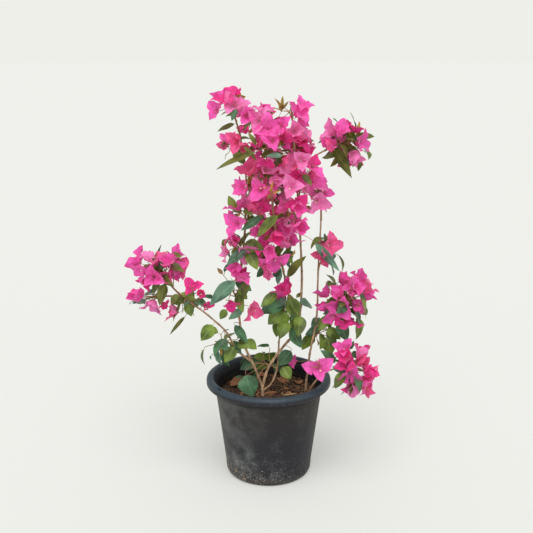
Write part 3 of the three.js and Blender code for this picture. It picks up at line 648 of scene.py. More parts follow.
def mesh_of(name, vertices, faces, places=None, slots=None, smooth=True):
    """Writes points in millimetres and lists of faces into a mesh. places are each point's own UV."""
    mesh = bpy.data.meshes.new(name)
    corners = [face for group in faces for face in group.tolist()]
    mesh.from_pydata((np.asarray(vertices).reshape(-1, 3) * MM).tolist(), [], corners)
    mesh.polygons.foreach_set("use_smooth", np.full(len(corners), smooth))
    if slots is not None:
        mesh.polygons.foreach_set("material_index", np.asarray(slots, np.int32))
    if places is not None:
        used = np.empty(len(mesh.loops), np.int32)
        mesh.loops.foreach_get("vertex_index", used)
        layer = mesh.uv_layers.new(name="Places")
        layer.data.foreach_set("uv", np.asarray(places, np.float32).reshape(-1, 2)[used].ravel())
    mesh.update()
    return mesh


def add_piece(name, mesh, materials, replaced=()):
    """Links a finished mesh as a piece that rides on the bush, and hides the nodes it stands for."""
    piece = bpy.data.objects.new(name, mesh)
    bpy.context.scene.collection.objects.link(piece)
    for material in materials:
        mesh.materials.append(material)
    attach(piece, BODY)
    if replaced:
        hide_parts(*replaced)
    return piece


def revolved(radius, height, columns):
    """A profile turned round the upright axis, closed by a point on the axis at each end.
    A point is (radius cos a, radius sin a, height). radius and height may also differ by column."""
    turn = turns(columns)
    radius = np.broadcast_to(np.asarray(radius).reshape(len(radius), -1), (len(radius), columns))
    height = np.broadcast_to(np.asarray(height).reshape(len(height), -1), (len(height), columns))
    rings = np.stack([radius * np.cos(turn), radius * np.sin(turn), height], axis=-1)[1:-1]
    poles = np.array([[0, 0, height[0, 0]], [0, 0, height[-1, 0]]])
    around = np.arange(columns)
    following = (around + 1) % columns
    last = (len(rings) - 1) * columns
    total = len(rings) * columns
    low = np.stack([np.full(columns, total), following, around], axis=1)
    top = np.stack([np.full(columns, total + 1), last + around, last + following], axis=1)
    vertices = np.vstack([rings.reshape(-1, 3), poles])
    return vertices, [grid_faces(len(rings), columns, True), low, top]


def tubes(lines, radii, sides, relief=1):
    """Round tubes along lines, with flat ends: a point is the line's point plus the radius times
    (cos a, sin a) in the plane across the line. relief multiplies the radius at each row and side."""
    lines = np.asarray(lines, float)
    copies, rows = lines.shape[:2]
    tangent = unit(np.gradient(lines, axis=1))
    mean = np.abs(tangent.mean(axis=1))
    reference = np.eye(3)[np.argmin(mean, axis=1)][:, None]
    ring = around(tangent, square_to(tangent, reference), turns(sides))
    radii = np.broadcast_to(radii, (copies, rows))[..., None]
    reach = radii * np.broadcast_to(relief, (copies, rows, sides))
    vertices = lines[:, :, None] + reach[..., None] * ring
    first = np.arange(copies)[:, None] * rows * sides
    start = first + np.arange(sides)[::-1]
    end = first + (rows - 1) * sides + np.arange(sides)
    return vertices.reshape(-1, 3), [grid_faces(rows, sides, True, copies), start, end]


def merged(parts):
    """Several (vertices, faces) pairs as one."""
    vertices, faces, base = [], [], 0
    for points, groups in parts:
        vertices.append(points)
        faces += [group + base for group in groups]
        base += len(points)
    return np.vstack(vertices), faces


# Growth of the crown

def stem_of(mass, lines, count):
    """A mass's stem: it leaves its limb, bends towards the middle of the mass and runs on past it."""
    line = lines[mass.limb]
    place = mass.along * (len(line) - 1)
    before = min(int(place), len(line) - 2)
    foot = line[before] + (place - before) * (line[before + 1] - line[before])
    tangent = unit(line[before + 1] - line[before])
    outward = np.array(mass.at) - foot
    if mass.along == 1:
        foot = foot + JOINT_GAP * tangent
    bend = foot + STEM_BEND * np.linalg.norm(outward) * tangent
    tip = np.array(mass.at) + unit(outward) * STEM_OVERRUN * min(mass.half)
    return bezier(foot, bend, tip, count)


def reach_along(half, direction):
    """The distance from an ellipsoid's centre to its surface along unit directions."""
    return 1 / np.linalg.norm(direction / np.array(half), axis=-1)


def walls_of(mass):
    """The flat walls between a mass and its neighbours: their directions and distances."""
    others = [other for other in MASSES if other is not mass]
    between = np.array([other.at for other in others], float) - mass.at
    distance = np.linalg.norm(between, axis=1)
    normal = between / distance[:, None]
    own = reach_along(mass.half, normal)
    theirs = np.array([reach_along(other.half, n) for other, n in zip(others, normal)])
    return normal, normal @ np.array(mass.at) + distance * own / (own + theirs) - SPACE_GAP


def wall_radius(z):
    """The outer radius of the pot's wall at a height: a straight line from foot to top."""
    return BASE_RADIUS + WALL_SLOPE * (z - FOOT_HEIGHT)


def inner_radius(z):
    """The inner radius of the pot's wall at a height."""
    return wall_radius(z) - WALL_THICKNESS


def clear_of(balls, points):
    """Whether points keep outside every ball, each given as its centre and radius."""
    return np.all([np.linalg.norm(points - centre, axis=-1) > radius for centre, radius in balls], axis=0)


def clear_of_pot(points):
    """Whether points are clear of the pot and its potting mix."""
    radius = np.hypot(points[..., 0], points[..., 1])
    z = points[..., 2]
    over_soil = (radius < inner_radius(SOIL_LEVEL) - POT_MARGIN) & (z > SOIL_LEVEL + POT_MARGIN)
    return (z > POT_HEIGHT + POT_MARGIN) | (radius > RIM_RADIUS + POT_MARGIN) | over_soil


def in_space(mass, points):
    """Whether points lie in a mass's own space, or a little past its walls, and clear of the pot."""
    normal, distance = walls_of(mass)
    share = np.linalg.norm((points - np.array(mass.at)) / np.array(mass.half), axis=-1)
    inside = (points @ normal.T < distance + SPACE_SLACK).all(axis=-1)
    return (share < SPACE_SHARE) & inside & clear_of_pot(points)


def limb_gap(points, chain, radius):
    """The distance from points to the nearest of straight pieces, less the piece's own radius."""
    start, end = chain
    way = end - start
    flat = points.reshape(-1, 1, 3) - start
    t = np.clip((flat * way).sum(-1) / (way * way).sum(-1), 0, 1)
    gap = np.linalg.norm(flat - t[..., None] * way, axis=-1) - radius
    return gap.min(axis=1).reshape(points.shape[:-1])


def side_of(axis):
    """A unit direction across each axis."""
    aside = np.stack([axis[..., 1], -axis[..., 0], np.full(axis.shape[:-1], 0.2)], axis=-1)
    return unit(np.cross(aside, axis))


def turned_about(vector, axis, angle):
    """Vectors turned about unit axes, by the rule of Rodrigues."""
    c, s = np.cos(angle)[..., None], np.sin(angle)[..., None]
    along = axis * (vector * axis).sum(-1, keepdims=True)
    return vector * c + np.cross(axis, vector) * s + along * (1 - c)


def in_column(mass):
    """Whether a mass belongs to the close column of blossom."""
    return mass.at[2] > COLUMN_FOOT and abs(mass.at[0]) < COLUMN_REACH


def proposals(mass, stem, rng, count, depth_share):
    """Places tried for each spray of a mass, as arrays of spray by attempt. A spray's twig runs from the
    stem to a point on a golden spiral spread evenly over the mass, at the depth that lets the spray reach
    the mass's edge."""
    spray = np.arange(count)[:, None]
    attempt = np.arange(ATTEMPTS)[None]
    draws = rng.random((6, count, ATTEMPTS))
    turn = 2 * np.pi * rng.random() + GOLDEN_ANGLE * spray + TURN_DRIFT * attempt * (draws[0] - 0.5)
    height = np.broadcast_to(1 - (2 * spray + 1) / count, turn.shape)
    flat = np.sqrt(1 - height**2)
    direction = unit(np.stack([flat * np.cos(turn), flat * np.sin(turn),
                               height + HEIGHT_DRIFT * attempt * (draws[1] - 0.5)], axis=-1))
    bloom = mass.bloom + COLUMN_BLOOM * in_column(mass)
    in_bloom = np.broadcast_to(rng.random((count, 1)) < bloom, turn.shape)
    size = (1 - SPRAY_SHRINK * attempt) * (SPRAY_SIZE[0] + SPRAY_SIZE[1] * draws[2])
    surface = reach_along(mass.half, direction)
    reach = size * np.where(in_bloom, BLOOM_REACH, SPRAY_REACH) * np.cos(REACH_SPREAD * SPREAD)
    full = DEPTH_FULL * surface - reach * (1 + DEPTH_STEP * attempt)
    depth = depth_share * np.maximum(DEPTH_LEAST * surface, full)
    end = np.array(mass.at) + direction * depth[..., None]
    foot = TWIG_FOOT[0] + TWIG_FOOT[1] * draws[3] + TWIG_FOOT_STEP * attempt
    start = stem[np.rint(np.minimum(TWIG_FOOT_LAST, foot) * (len(stem) - 1)).astype(int)]
    axis = AXIS_SHARES[0] * unit(end - start) + AXIS_SHARES[1] * direction
    axis[..., 2] += AXIS_LIFT * in_bloom
    axis = unit(axis)
    side = turned_about(side_of(axis), axis, 2 * np.pi * draws[4])
    return dict(start=start, end=end, axis=axis, side=side, size=size, in_bloom=in_bloom)


def rows_of(table, which):
    """The chosen rows of a dictionary of arrays."""
    return {name: value[which] for name, value in table.items()}


def joined(tables):
    """Like dictionaries of arrays as one."""
    return {name: np.concatenate([table[name] for table in tables]) for name in tables[0]}


def place_sprays(mass, tried, chain, radius, ends):
    """The sprays of a mass that fit: the first attempt at each that keeps to the mass's space, clear of
    limbs and of the sprays placed before it, whose ends it adds to."""
    axis, end = tried["axis"][..., None, :], tried["end"][..., None, :]
    out = around(tried["axis"], tried["side"], 2 * np.pi * (np.arange(3) + 0.5) / 3)
    blade = np.sin(SPREAD) * out + np.cos(SPREAD) * axis
    tips = end + blade * (SPRAY_REACH * tried["size"])[..., None, None]
    points = np.concatenate([tips, end + 0.5 * (tips - end), end], axis=-2)
    fits = in_space(mass, points).all(axis=-1)
    fits &= (limb_gap(points, chain, radius) > LIMB_MARGIN).all(axis=-1)
    kept = []
    for i in range(len(fits)):
        for k in np.flatnonzero(fits[i]):
            place = tried["end"][i, k]
            if all(np.linalg.norm(other - place) >= SPRAY_SPACING for other in ends):
                kept.append((i, k))
                ends.append(place)
                break
    rows, columns = (np.array([pair[side] for pair in kept], int) for side in (0, 1))
    return rows_of(tried, (rows, columns))


def bent_in(points, inset):
    """Points moved just far enough to lie inside the bush's own box, less an inset."""
    low, high = np.array(CAD_BOX) / MM
    return np.clip(points, low + inset, high - inset)


def kept_in_box(mass, root, facing):
    """Roots of blooms moved just far enough for the blooms to end at the faces of their mass's own box."""
    at, half = np.array(mass.at), np.array(mass.half)
    low = np.minimum(at, at - half + BLOOM_HALF - BLOOM_AHEAD * facing)
    high = np.maximum(at, at + half - BLOOM_HALF - BLOOM_AHEAD * facing)
    return np.clip(root, low, high)


def spaced(points, least):
    """Which points lie at least a distance from every point kept before them."""
    gap = np.linalg.norm(points[:, None] - points[None], axis=-1)
    keep = np.ones(len(points), bool)
    for i in range(1, len(points)):
        keep[i] = not (gap[i, :i][keep[:i]] < least).any()
    return keep


def dealt(shades, draw):
    """The shade that each draw from 0 to 1 falls to."""
    ends, kinds = zip(*shades)
    return np.array(kinds)[np.searchsorted(ends, draw, side="right")]


def add_leaves(lines, foliage, mass, rng, fine, leaves):
    """Adds leaves to twigs, alternately and by the golden angle, each on a petiole. A blade leans along
    its twig, then hangs, and its face turns up and outwards. Young leaves stand up instead."""
    count, rows = lines.shape[:2]
    each = foliage.each
    share = np.linspace(*foliage.span, each)[None] + rng.uniform(-LEAF_SHIFT, LEAF_SHIFT, (count, each))
    place = np.clip(np.rint(share * (rows - 1)).astype(int), 1, rows - 1)
    picked = np.arange(count)[:, None]
    node_at = lines[picked, place]
    tangent = unit(node_at - lines[picked, place - 1])
    turn = rng.uniform(0, 2 * np.pi, (count, 1)) + GOLDEN_ANGLE * np.arange(each)
    turn = turn + rng.uniform(-LEAF_TURN, LEAF_TURN, turn.shape)
    radial = turned_about(side_of(tangent), tangent, turn)
    root, ahead = node_at.reshape(-1, 3), unit(foliage.lean * tangent + radial).reshape(-1, 3)
    low = mass.at[2] < COLUMN_FOOT
    keep = rng.random(len(root)) < foliage.share * mass.leafy
    root, ahead = root[keep], ahead[keep]
    count = len(root)
    size = foliage.size * rng.uniform(*LEAF_SIZES, count)
    hang = rng.uniform(*LEAF_HANGS, (count, 1)) * (1 if low else COLUMN_HANG)
    hang = YOUNG_HANG if foliage.young else hang
    stalk = (PETIOLE * np.minimum(1, size))[:, None] * unit(ahead + PETIOLE_RISE * UP)
    hanging = unit(ahead - hang * UP)
    start = bent_in(root + stalk, LEAF_INSET)
    outward = unit(start * np.array([1, 1, 0]) + 1e-6)
    up = unit(UP + LEAF_OUTWARD * outward + rng.normal(0, LEAF_STRAY, (count, 3)))
    face = square_to(hanging, up)
    tip = bent_in(start + hanging * (FULL_LEAF * size)[:, None], 0)
    hanging = unit(tip - start)
    face = square_to(hanging, face)
    fits = clear_of_pot(tip) & clear_of_pot(start)
    fits &= clear_of(BARE, np.stack([start, (start + tip) / 2, tip])).all(axis=0)
    fine.append(bezier(root, root + 0.5 * stalk, start, TWIG_ROWS)[fits])
    shades = YOUNG_SHADES if foliage.young else LOW_SHADES if low else COLUMN_SHADES
    shade = dealt(shades, rng.random(count))
    slim = np.full(count, LEAF_SLIM * (YOUNG_SLIM if foliage.young else 1))
    bend = rng.uniform(*LEAF_BENDS, count)
    made = dict(root=start, ahead=hanging, face=face, size=size, slim=slim, shade=shade, bend=bend)
    leaves.append(rows_of(made, fits))


def grow_sprays(mass, sprays, rng, twigs, fine, blooms, leaves):
    """Splits a mass's sprays into finer twigs, and adds what they carry to the lists."""
    start, end, axis = sprays["start"], sprays["end"], sprays["axis"]
    column = in_column(mass)
    sag = rng.uniform(-TWIG_SAG, TWIG_SAG, start.shape)
    lines = bezier(start, start + TWIG_BEND * (end - start) + sag + TWIG_LIFT * UP, end, TWIG_ROWS)
    twigs.append(lines)
    bloom_set = np.flatnonzero(sprays["in_bloom"])
    leaf_set = np.flatnonzero(~sprays["in_bloom"])
    if len(bloom_set):
        parent = np.repeat(bloom_set, CYME_MOST)
        number = np.tile(np.arange(CYME_MOST), len(bloom_set))
        present = number < rng.integers(CYME_LEAST, CYME_MOST + 1, len(bloom_set)).repeat(CYME_MOST)
        first = rng.uniform(0, 2 * np.pi, len(bloom_set)).repeat(CYME_MOST)
        turn = first + 2 * np.pi * number / CYME_MOST
        radial = turned_about(sprays["side"][parent], axis[parent], turn)
        splay = CYME_SPLAY * rng.uniform(*SPLAY_SHARES, len(parent))[:, None]
        way = unit(np.cos(splay) * axis[parent] + np.sin(splay) * radial)
        root = end[parent] + way * (PEDICEL * rng.uniform(*PEDICEL_SHARES, len(parent)))[:, None]
        facing = unit(way + BLOOM_FACING[0] * axis[parent] + BLOOM_FACING[1])
        root = kept_in_box(mass, root, facing)
        present &= clear_of(BLOOM_FREE, root)
        stalk = bezier(end[parent], end[parent] + PEDICEL_FOOT * axis[parent], root, TWIG_ROWS)
        made = dict(root=root, axis=facing, size=sprays["size"][parent], draw=rng.random(len(parent)))
        fine.append(stalk[present])
        blooms.append(rows_of(made, present))
        for foliage in COLUMN_BLOOM_LEAVES if column else LOW_BLOOM_LEAVES:
            add_leaves(lines[bloom_set], foliage, mass, rng, fine, leaves)
    if len(leaf_set):
        for foliage in COLUMN_TWIG_LEAVES if column else LOW_TWIG_LEAVES:
            add_leaves(lines[leaf_set], foliage, mass, rng, fine, leaves)


def nearest(wood, points):
    """The point of the wood nearest to each point."""
    return wood[np.argmin(np.linalg.norm(points[:, None] - wood, axis=-1), axis=1)]


def stalks_to(root, way, wood):
    """A stalk to each root from the nearest wood. It comes in behind what it carries."""
    foot = nearest(wood, root)
    length = np.linalg.norm(root - foot, axis=1, keepdims=True)
    return bezier(foot, root - STALK_LEAN * length * way, root, TWIG_ROWS)


def add_singles(wood, rng, fine, blooms, leaves):
    """Adds the leaves, blooms and shoots that stand out by themselves, each on its own stalk."""
    root, tip, slim, shade = (np.array(column, float) for column in zip(*SINGLE_LEAVES))
    ahead = unit(tip - root)
    fine.append(stalks_to(root, ahead, wood))
    face = square_to(ahead, SINGLE_FACE + rng.normal(0, SINGLE_STRAY, root.shape))
    leaves.append(dict(root=root, ahead=ahead, face=face,
                       size=np.linalg.norm(tip - root, axis=1) / FULL_LEAF, slim=slim,
                       bend=rng.uniform(*SINGLE_BENDS, len(root)), shade=shade.astype(int)))
    root, facing, size, tint = (np.array(column, float) for column in zip(*SINGLE_BLOOMS))
    axis = unit(facing)
    fine.append(stalks_to(root, axis, wood))
    draw = np.where(tint == ANY, rng.random(len(root)), tint)
    blooms.append(dict(root=root, axis=axis, size=size, draw=draw))
    for shoot in SHOOTS:
        root, tip, count = np.array(shoot.root, float), np.array(shoot.tip, float), shoot.leaves
        foot = nearest(wood, root[None])[0]
        fine.append(bezier(foot, root, tip, TWIG_ROWS)[None])
        way = np.broadcast_to(unit(tip - root), (count, 3))
        lean = np.linspace(*SHOOT_LEANS, count)[:, None]
        aside = turned_about(side_of(way), way, GOLDEN_ANGLE * np.arange(count))
        ahead = unit(np.cos(lean) * way + np.sin(lean) * aside)
        leaves.append(dict(root=tip - way * np.linspace(0, SHOOT_TOP, count)[:, None], ahead=ahead,
                           face=square_to(ahead, way), size=rng.uniform(*SHOOT_SIZES, count),
                           slim=np.full(count, SHOOT_SLIM), bend=rng.uniform(*SHOOT_BENDS, count),
                           shade=np.full(count, YOUNG)))


Growth = namedtuple("Growth", "stems twigs fine blooms leaves")


@cache
def grown():
    """The whole crown's growth: stems, twigs, fine twigs, blooms and leaves, each as arrays."""
    lines = {limb.name: smooth_line(limb.route, LIMB_POINTS) for limb in LIMBS}
    stems = [stem_of(mass, lines, STEM_POINTS) for mass in MASSES]
    coarse = [(limb.name, smooth_line(limb.route, CHAIN_POINTS), limb.radii) for limb in LIMBS]
    coarse += [(mass.name, stem[::CHAIN_STEP], STEM_RADII) for mass, stem in zip(MASSES, stems)]
    owners = np.concatenate([[name] * (len(line) - 1) for name, line, _ in coarse])
    chain = [np.vstack([line[:-1] for _, line, _ in coarse]), np.vstack([line[1:] for _, line, _ in coarse])]
    radius = np.concatenate([np.linspace(*radii, len(line) - 1) for _, line, radii in coarse])
    twigs, fine, blooms, leaves = [], [], [], []
    wood = np.vstack([*lines.values(), *stems])
    add_singles(wood, np.random.default_rng(SINGLES_SEED), fine, blooms, leaves)
    for index, (mass, stem) in enumerate(zip(MASSES, stems)):
        rng = np.random.default_rng(SEED_START + SEED_STEP * index)
        others = owners != mass.name
        near = [part[others] for part in chain]
        ends = []
        layers = LEAF_LAYERS if mass.bloom <= MOSTLY_BLOOM else BLOOM_LAYERS
        layers = COLUMN_LAYERS if in_column(mass) else layers
        for often, depth_share in layers:
            tried = proposals(mass, stem, rng, round(often * mass.sprays), depth_share)
            sprays = place_sprays(mass, tried, near, radius[others], ends)
            if len(sprays["end"]):
                grow_sprays(mass, sprays, rng, twigs, fine, blooms, leaves)
    blooms = joined(blooms)
    blooms["root"] = bent_in(blooms["root"], BLOOM_INSET)
    blooms = rows_of(blooms, spaced(blooms["root"], BLOOM_SPACING))
    return Growth(np.array(stems), np.concatenate(twigs), np.concatenate(fine), blooms, joined(leaves))


def blades(root, ahead, face, length, width, bend, kind, rng):
    """Thin blades, each a grid of s from root to tip and t from edge to edge.
    The midrib sets out ahead and turns away from its face by bend times s^bend_power, and its points are
    the running sum of its directions. Half the width is s^rise (1-s)^fall over its greatest value. A point
    at x across the blade stands off the midrib's plane by fold |x| + cup t x, with a ripple towards the
    edges of wave t^2 sin(2 pi waves s)."""
    count, rows, columns = len(root), kind.rows, kind.columns
    s = np.linspace(0, 1, rows)
    t = np.linspace(-1, 1, columns)
    outline = (s + BASE_SHARE) ** kind.rise * (1 + TIP_SHARE - s) ** kind.fall
    outline = outline / outline.max()
    angle = bend[:, None] * s**kind.bend_power
    side = np.cross(ahead, face)[:, None]
    cosine, sine = np.cos(angle)[..., None], np.sin(angle)[..., None]
    along = cosine * ahead[:, None] - sine * face[:, None]
    normal = sine * ahead[:, None] + cosine * face[:, None]
    twist = (kind.twist * rng.uniform(-1, 1, count))[:, None, None] * s[:, None]
    side, normal = (np.cos(twist) * side + np.sin(twist) * normal,
                    np.cos(twist) * normal - np.sin(twist) * side)
    step = length[:, None, None] / (rows - 1)
    run = np.cumsum((along[:, 1:] + along[:, :-1]) / 2, axis=1) * step
    midrib = root[:, None] + np.concatenate([np.zeros((count, 1, 3)), run], axis=1)
    half = width[:, None] / 2 * outline
    across = half[..., None] * t
    fold = (kind.fold * rng.uniform(0.3, 1.5, count))[:, None, None]
    phase = 2 * np.pi * rng.random((count, 2))
    phase = np.where(t < 0, phase[:, :1], phase[:, 1:])[:, None]
    waves = (kind.waves * rng.uniform(0.8, 1.3, count))[:, None, None]
    ripple = kind.wave * half[..., None] * t**2 * np.sin(2 * np.pi * waves * s[:, None] + phase)
    off = fold * np.abs(across) + kind.cup * across * t + ripple
    points = midrib[:, :, None] + across[..., None] * side[:, :, None] + off[..., None] * normal[:, :, None]
    places = np.stack(np.broadcast_arrays((t / 2 + 0.5)[None], s[:, None]), axis=-1)
    places = np.broadcast_to(places, (count, rows, columns, 2))
    return points.reshape(-1, 3), [grid_faces(rows, columns, False, count)], places.reshape(-1, 2)


# Materials

def node(tree, kind, inputs=None, output=0, **settings):
    """Adds a node with its settings and gives back one of its outputs. Each input is given a value or is
    linked from another node's output."""
    made = tree.nodes.new(kind)
    for name, value in settings.items():
        setattr(made, name, value)
    for name, value in (inputs or {}).items():
        if isinstance(value, bpy.types.NodeSocket):
            tree.links.new(value, made.inputs[name])
        else:
            made.inputs[name].default_value = value
    return made.outputs[output] if made.outputs else None


def new_material(name):
    """An empty node material and its tree."""
    material = bpy.data.materials.new(name)
    material.use_nodes = True
    material.node_tree.nodes.clear()
    return material, material.node_tree


def rgba(colour):
    """A linear colour with full alpha."""
    return (*tuple(colour)[:3], 1)


def toned(colour, share):
    """A colour made lighter or darker: each part times a share, and 1 at most."""
    return tuple(min(1, part * share) for part in tuple(colour)[:3])


def coated(tree, base, coats):
    """A base colour with coats over it, one after another. A coat is its colour and the shares that are
    multiplied to say how much of it shows."""
    for colour, share, *others in coats:
        for other in others:
            share = node(tree, "ShaderNodeMath", {0: share, 1: other}, operation="MULTIPLY")
        base = node(tree, "ShaderNodeMix", {0: share, 6: base, 7: rgba(colour)}, 2, data_type="RGBA")
    return base


def mottled(tree, size, ends, colours, detail=4, roughness=0.55, stretch=(1, 1, 1), easing="LINEAR"):
    """Lumps about size millimetres across, drawn out along an axis where stretch is under 1, and a colour
    that goes from the first to the last as they go from end to end."""
    place = node(tree, "ShaderNodeTexCoord", output="Object")
    place = node(tree, "ShaderNodeMapping", {"Vector": place, "Scale": stretch})
    lump = node(tree, "ShaderNodeTexNoise", {"Vector": place, "Scale": 1 / (size * MM), "Detail": detail,
                                             "Roughness": roughness})
    share = node(tree, "ShaderNodeMapRange", {"Value": lump, "From Min": ends[0], "From Max": ends[1]},
                 interpolation_type=easing)
    return lump, coated(tree, rgba(colours[0]), ((colours[1], share),))


# The pot's marks. Each noise has the size of its lumps in millimetres, its detail and its roughness.
POT_NOISES = {
    "cloud": (38, 5, 0.55),
    "grime": (9, 6, 0.7),
    "speck": (2.6, 2, 0.55),
    "crumb": (4.2, 3, 0.55),
    "grain": (1.6, 2, 0.55),
}
# Where a mark comes on, in millimetres: what is measured, where it begins and where it is full.
# "side" is the distance to either side, and "out" how far a point lies outside the wall's own line.
POT_SPANS = {
    "rim": ("height", WALL_TOP + 2, WALL_TOP + 6),
    # Painted light: the rim's top is painted a lighter slate than its outer face, which stays charcoal.
    "painted_light_rim_top": ("height", POT_HEIGHT - 12, POT_HEIGHT - 5),
    # Painted shadow: a band of the wall under the rim is darkened.
    "painted_shadow_under_rim": ("height", WALL_TOP - 14, WALL_TOP - 4),
    # The wall grows a darker brown towards the rim.
    "darker_towards_rim": ("height", 100, 205),
    "low": ("height", 130, 40),
    "spattered": ("height", 90, 0),
    "earthy": ("height", 52, 12),
    "foot": ("height", 24, 0),
    "filmy": ("across", 10, -100),
    "left": ("across", 60, -50),
    "near_left": ("across", 30, -60),
    # Painted sheen with dust: the pot's sides to the left and right are lightened.
    "painted_sheen_flank": ("side", 88, 128),
    "outside": ("out", -2.4, -1.4),
}
# The same for the patterns, which have no unit.
POT_PATCHES = {
    # Painted shade in the ridges' grooves, and the cloudy patches where it shows.
    "groove": ("wave", 0.2, -0.9),
    "shaded_groove_patches": ("cloud", 0.45, 0.6),
    "film": ("cloud", 0.3, 0.6),
    "chalk": ("cloud", 0.46, 0.66),
    "broken": ("grime", 0.35, 0.7),
    "scuffed": ("grime", 0.48, 0.72),
    "dust_and_sheen_patches": ("cloud and grime", 0.8, 1.25),
    "specks": ("speck", 0.62, 0.68),
    "crumbs": ("crumb", 0.56, 0.61),
}
# How strongly each mark is laid over the plastic
TOWARDS_RIM, DUST_AND_SHEEN, FILM, SCUFF, SMEAR, SPATTER, EARTH = 0.55, 0.36, 0.34, 0.14, 0.85, 0.7, 0.75
GROOVE_SHADE = (0.4, 0.15)  # how dark a groove is: what the clouds add, and the least
LOW_LEFT = (0.8, 0.2)  # how chalky the wall is: what its low left adds, and the rest
POT_ROUGH = 0.36
CLOUD_ROUGH = 0.2
MARK_ROUGH = 0.25


def pot_measures(tree, ridge_pitch):
    """What the pot's marks go by: each noise, and where a point lies on the pot."""
    place = node(tree, "ShaderNodeTexCoord", output="Object")
    across, height = (node(tree, "ShaderNodeSeparateXYZ", {"Vector": place}, axis) for axis in "XZ")
    measured = {name: node(tree, "ShaderNodeTexNoise", {"Vector": place, "Scale": 1 / (size * MM),
                                                        "Detail": detail, "Roughness": roughness})
                for name, (size, detail, roughness) in POT_NOISES.items()}
    flat = node(tree, "ShaderNodeVectorMath", {0: place, 1: (1, 1, 0)}, operation="MULTIPLY")
    radius = node(tree, "ShaderNodeVectorMath", {0: flat}, "Value", operation="LENGTH")
    line = node(tree, "ShaderNodeMath", {0: height, 1: WALL_SLOPE, 2: wall_radius(0) * MM},
                operation="MULTIPLY_ADD")
    turn = node(tree, "ShaderNodeMath", {0: height, 1: 2 * np.pi / ridge_pitch}, operation="MULTIPLY")
    return measured | {
        "height": height,
        "across": across,
        "side": node(tree, "ShaderNodeMath", {0: across}, operation="ABSOLUTE"),
        "out": node(tree, "ShaderNodeMath", {0: radius, 1: line}, operation="SUBTRACT"),
        "wave": node(tree, "ShaderNodeMath", {0: turn}, operation="SINE"),
        "cloud and grime": node(tree, "ShaderNodeMath", {0: measured["cloud"], 1: measured["grime"]},
                                operation="ADD"),
    }


def moulded_polypropylene(settings):
    """Moulded polypropylene, charcoal: an even satin wall, a smoother slate rim whose top is painted a
    lighter slate as painted light, and earth and water marks. The wall grows a darker brown towards
    the rim. Painted shade darkens the ridges' grooves, in cloudy patches, and a band under the rim.
    Dust lightens the foot, and dust with painted sheen the flanks."""
    material, tree = new_material("moulded polypropylene")
    measured = pot_measures(tree, settings.ridge_pitch)
    spans = {name: (what, first * MM, last * MM) for name, (what, first, last) in POT_SPANS.items()}
    on = {name: node(tree, "ShaderNodeMapRange", {"Value": measured[what], "From Min": first,
                                                  "From Max": last}, interpolation_type="SMOOTHSTEP")
          for name, (what, first, last) in (spans | POT_PATCHES).items()}
    wall = node(tree, "ShaderNodeMath", {0: 1, 1: on["rim"]}, operation="SUBTRACT")
    bare_wall = node(tree, "ShaderNodeMath", {0: on["outside"], 1: wall}, operation="MULTIPLY")
    # How dark the painted shade in the grooves is, patchy by the cloud noise.
    groove_shade = node(tree, "ShaderNodeMath", {0: on["shaded_groove_patches"], 1: GROOVE_SHADE[0], 2: GROOVE_SHADE[1]},
                operation="MULTIPLY_ADD")
    # Dust at the foot, and dust with painted sheen at the flanks.
    edges = node(tree, "ShaderNodeMath", {0: on["foot"], 1: on["painted_sheen_flank"]}, operation="MAXIMUM")
    low_left = node(tree, "ShaderNodeMath", {0: on["low"], 1: on["left"]}, operation="MULTIPLY")
    chalk = node(tree, "ShaderNodeMath", {0: low_left, 1: LOW_LEFT[0], 2: LOW_LEFT[1]},
                 operation="MULTIPLY_ADD")
    spatter = node(tree, "ShaderNodeMath", {0: low_left, 1: LOW_LEFT[0], 2: on["spattered"]},
                   operation="MULTIPLY_ADD", use_clamp=True)
    black = toned(settings.wall_colour, 0.45)
    base = coated(tree, rgba(settings.wall_colour), (
        (settings.rim_slate_and_painted_light, on["painted_light_rim_top"]),
        (black, on["groove"], wall, groove_shade),
        # The wall grows a darker brown towards the rim.
        (toned(settings.dust_and_sheen_colour, 0.16), on["darker_towards_rim"], wall, TOWARDS_RIM),
        (settings.dust_and_sheen_colour, on["dust_and_sheen_patches"], edges, bare_wall, DUST_AND_SHEEN),
        (settings.smear_colour, on["filmy"], on["film"], bare_wall, FILM),
        (settings.smear_colour, on["scuffed"], on["rim"], SCUFF),
        (settings.smear_colour, on["chalk"], on["broken"], chalk, wall, SMEAR),
        (toned(settings.smear_colour, 1.7), on["specks"], spatter, SPATTER),
        (toned(settings.dust_and_sheen_colour, 2.4), on["crumbs"], on["earthy"], on["near_left"], EARTH),
        # Painted shadow under the rim.
        (black, on["painted_shadow_under_rim"], wall),
    ))
    rough = node(tree, "ShaderNodeMath", {0: measured["cloud"], 1: CLOUD_ROUGH, 2: POT_ROUGH},
                 operation="MULTIPLY_ADD")
    for shares in ((on["dust_and_sheen_patches"], edges, bare_wall), (on["chalk"], on["broken"], chalk, wall)):
        mark = MARK_ROUGH
        for share in shares:
            mark = node(tree, "ShaderNodeMath", {0: share, 1: mark}, operation="MULTIPLY")
        rough = node(tree, "ShaderNodeMath", {0: rough, 1: mark}, operation="ADD")
    bump = node(tree, "ShaderNodeBump", {"Strength": 0.15, "Distance": 0.4 * MM,
                                         "Height": measured["grain"]})
    shader = node(tree, "ShaderNodeBsdfPrincipled", {
        "Base Color": base, "Roughness": rough, "IOR": 1.49, "Specular IOR Level": 0.3, "Normal": bump})
    node(tree, "ShaderNodeOutputMaterial", {"Surface": shader})
    return material


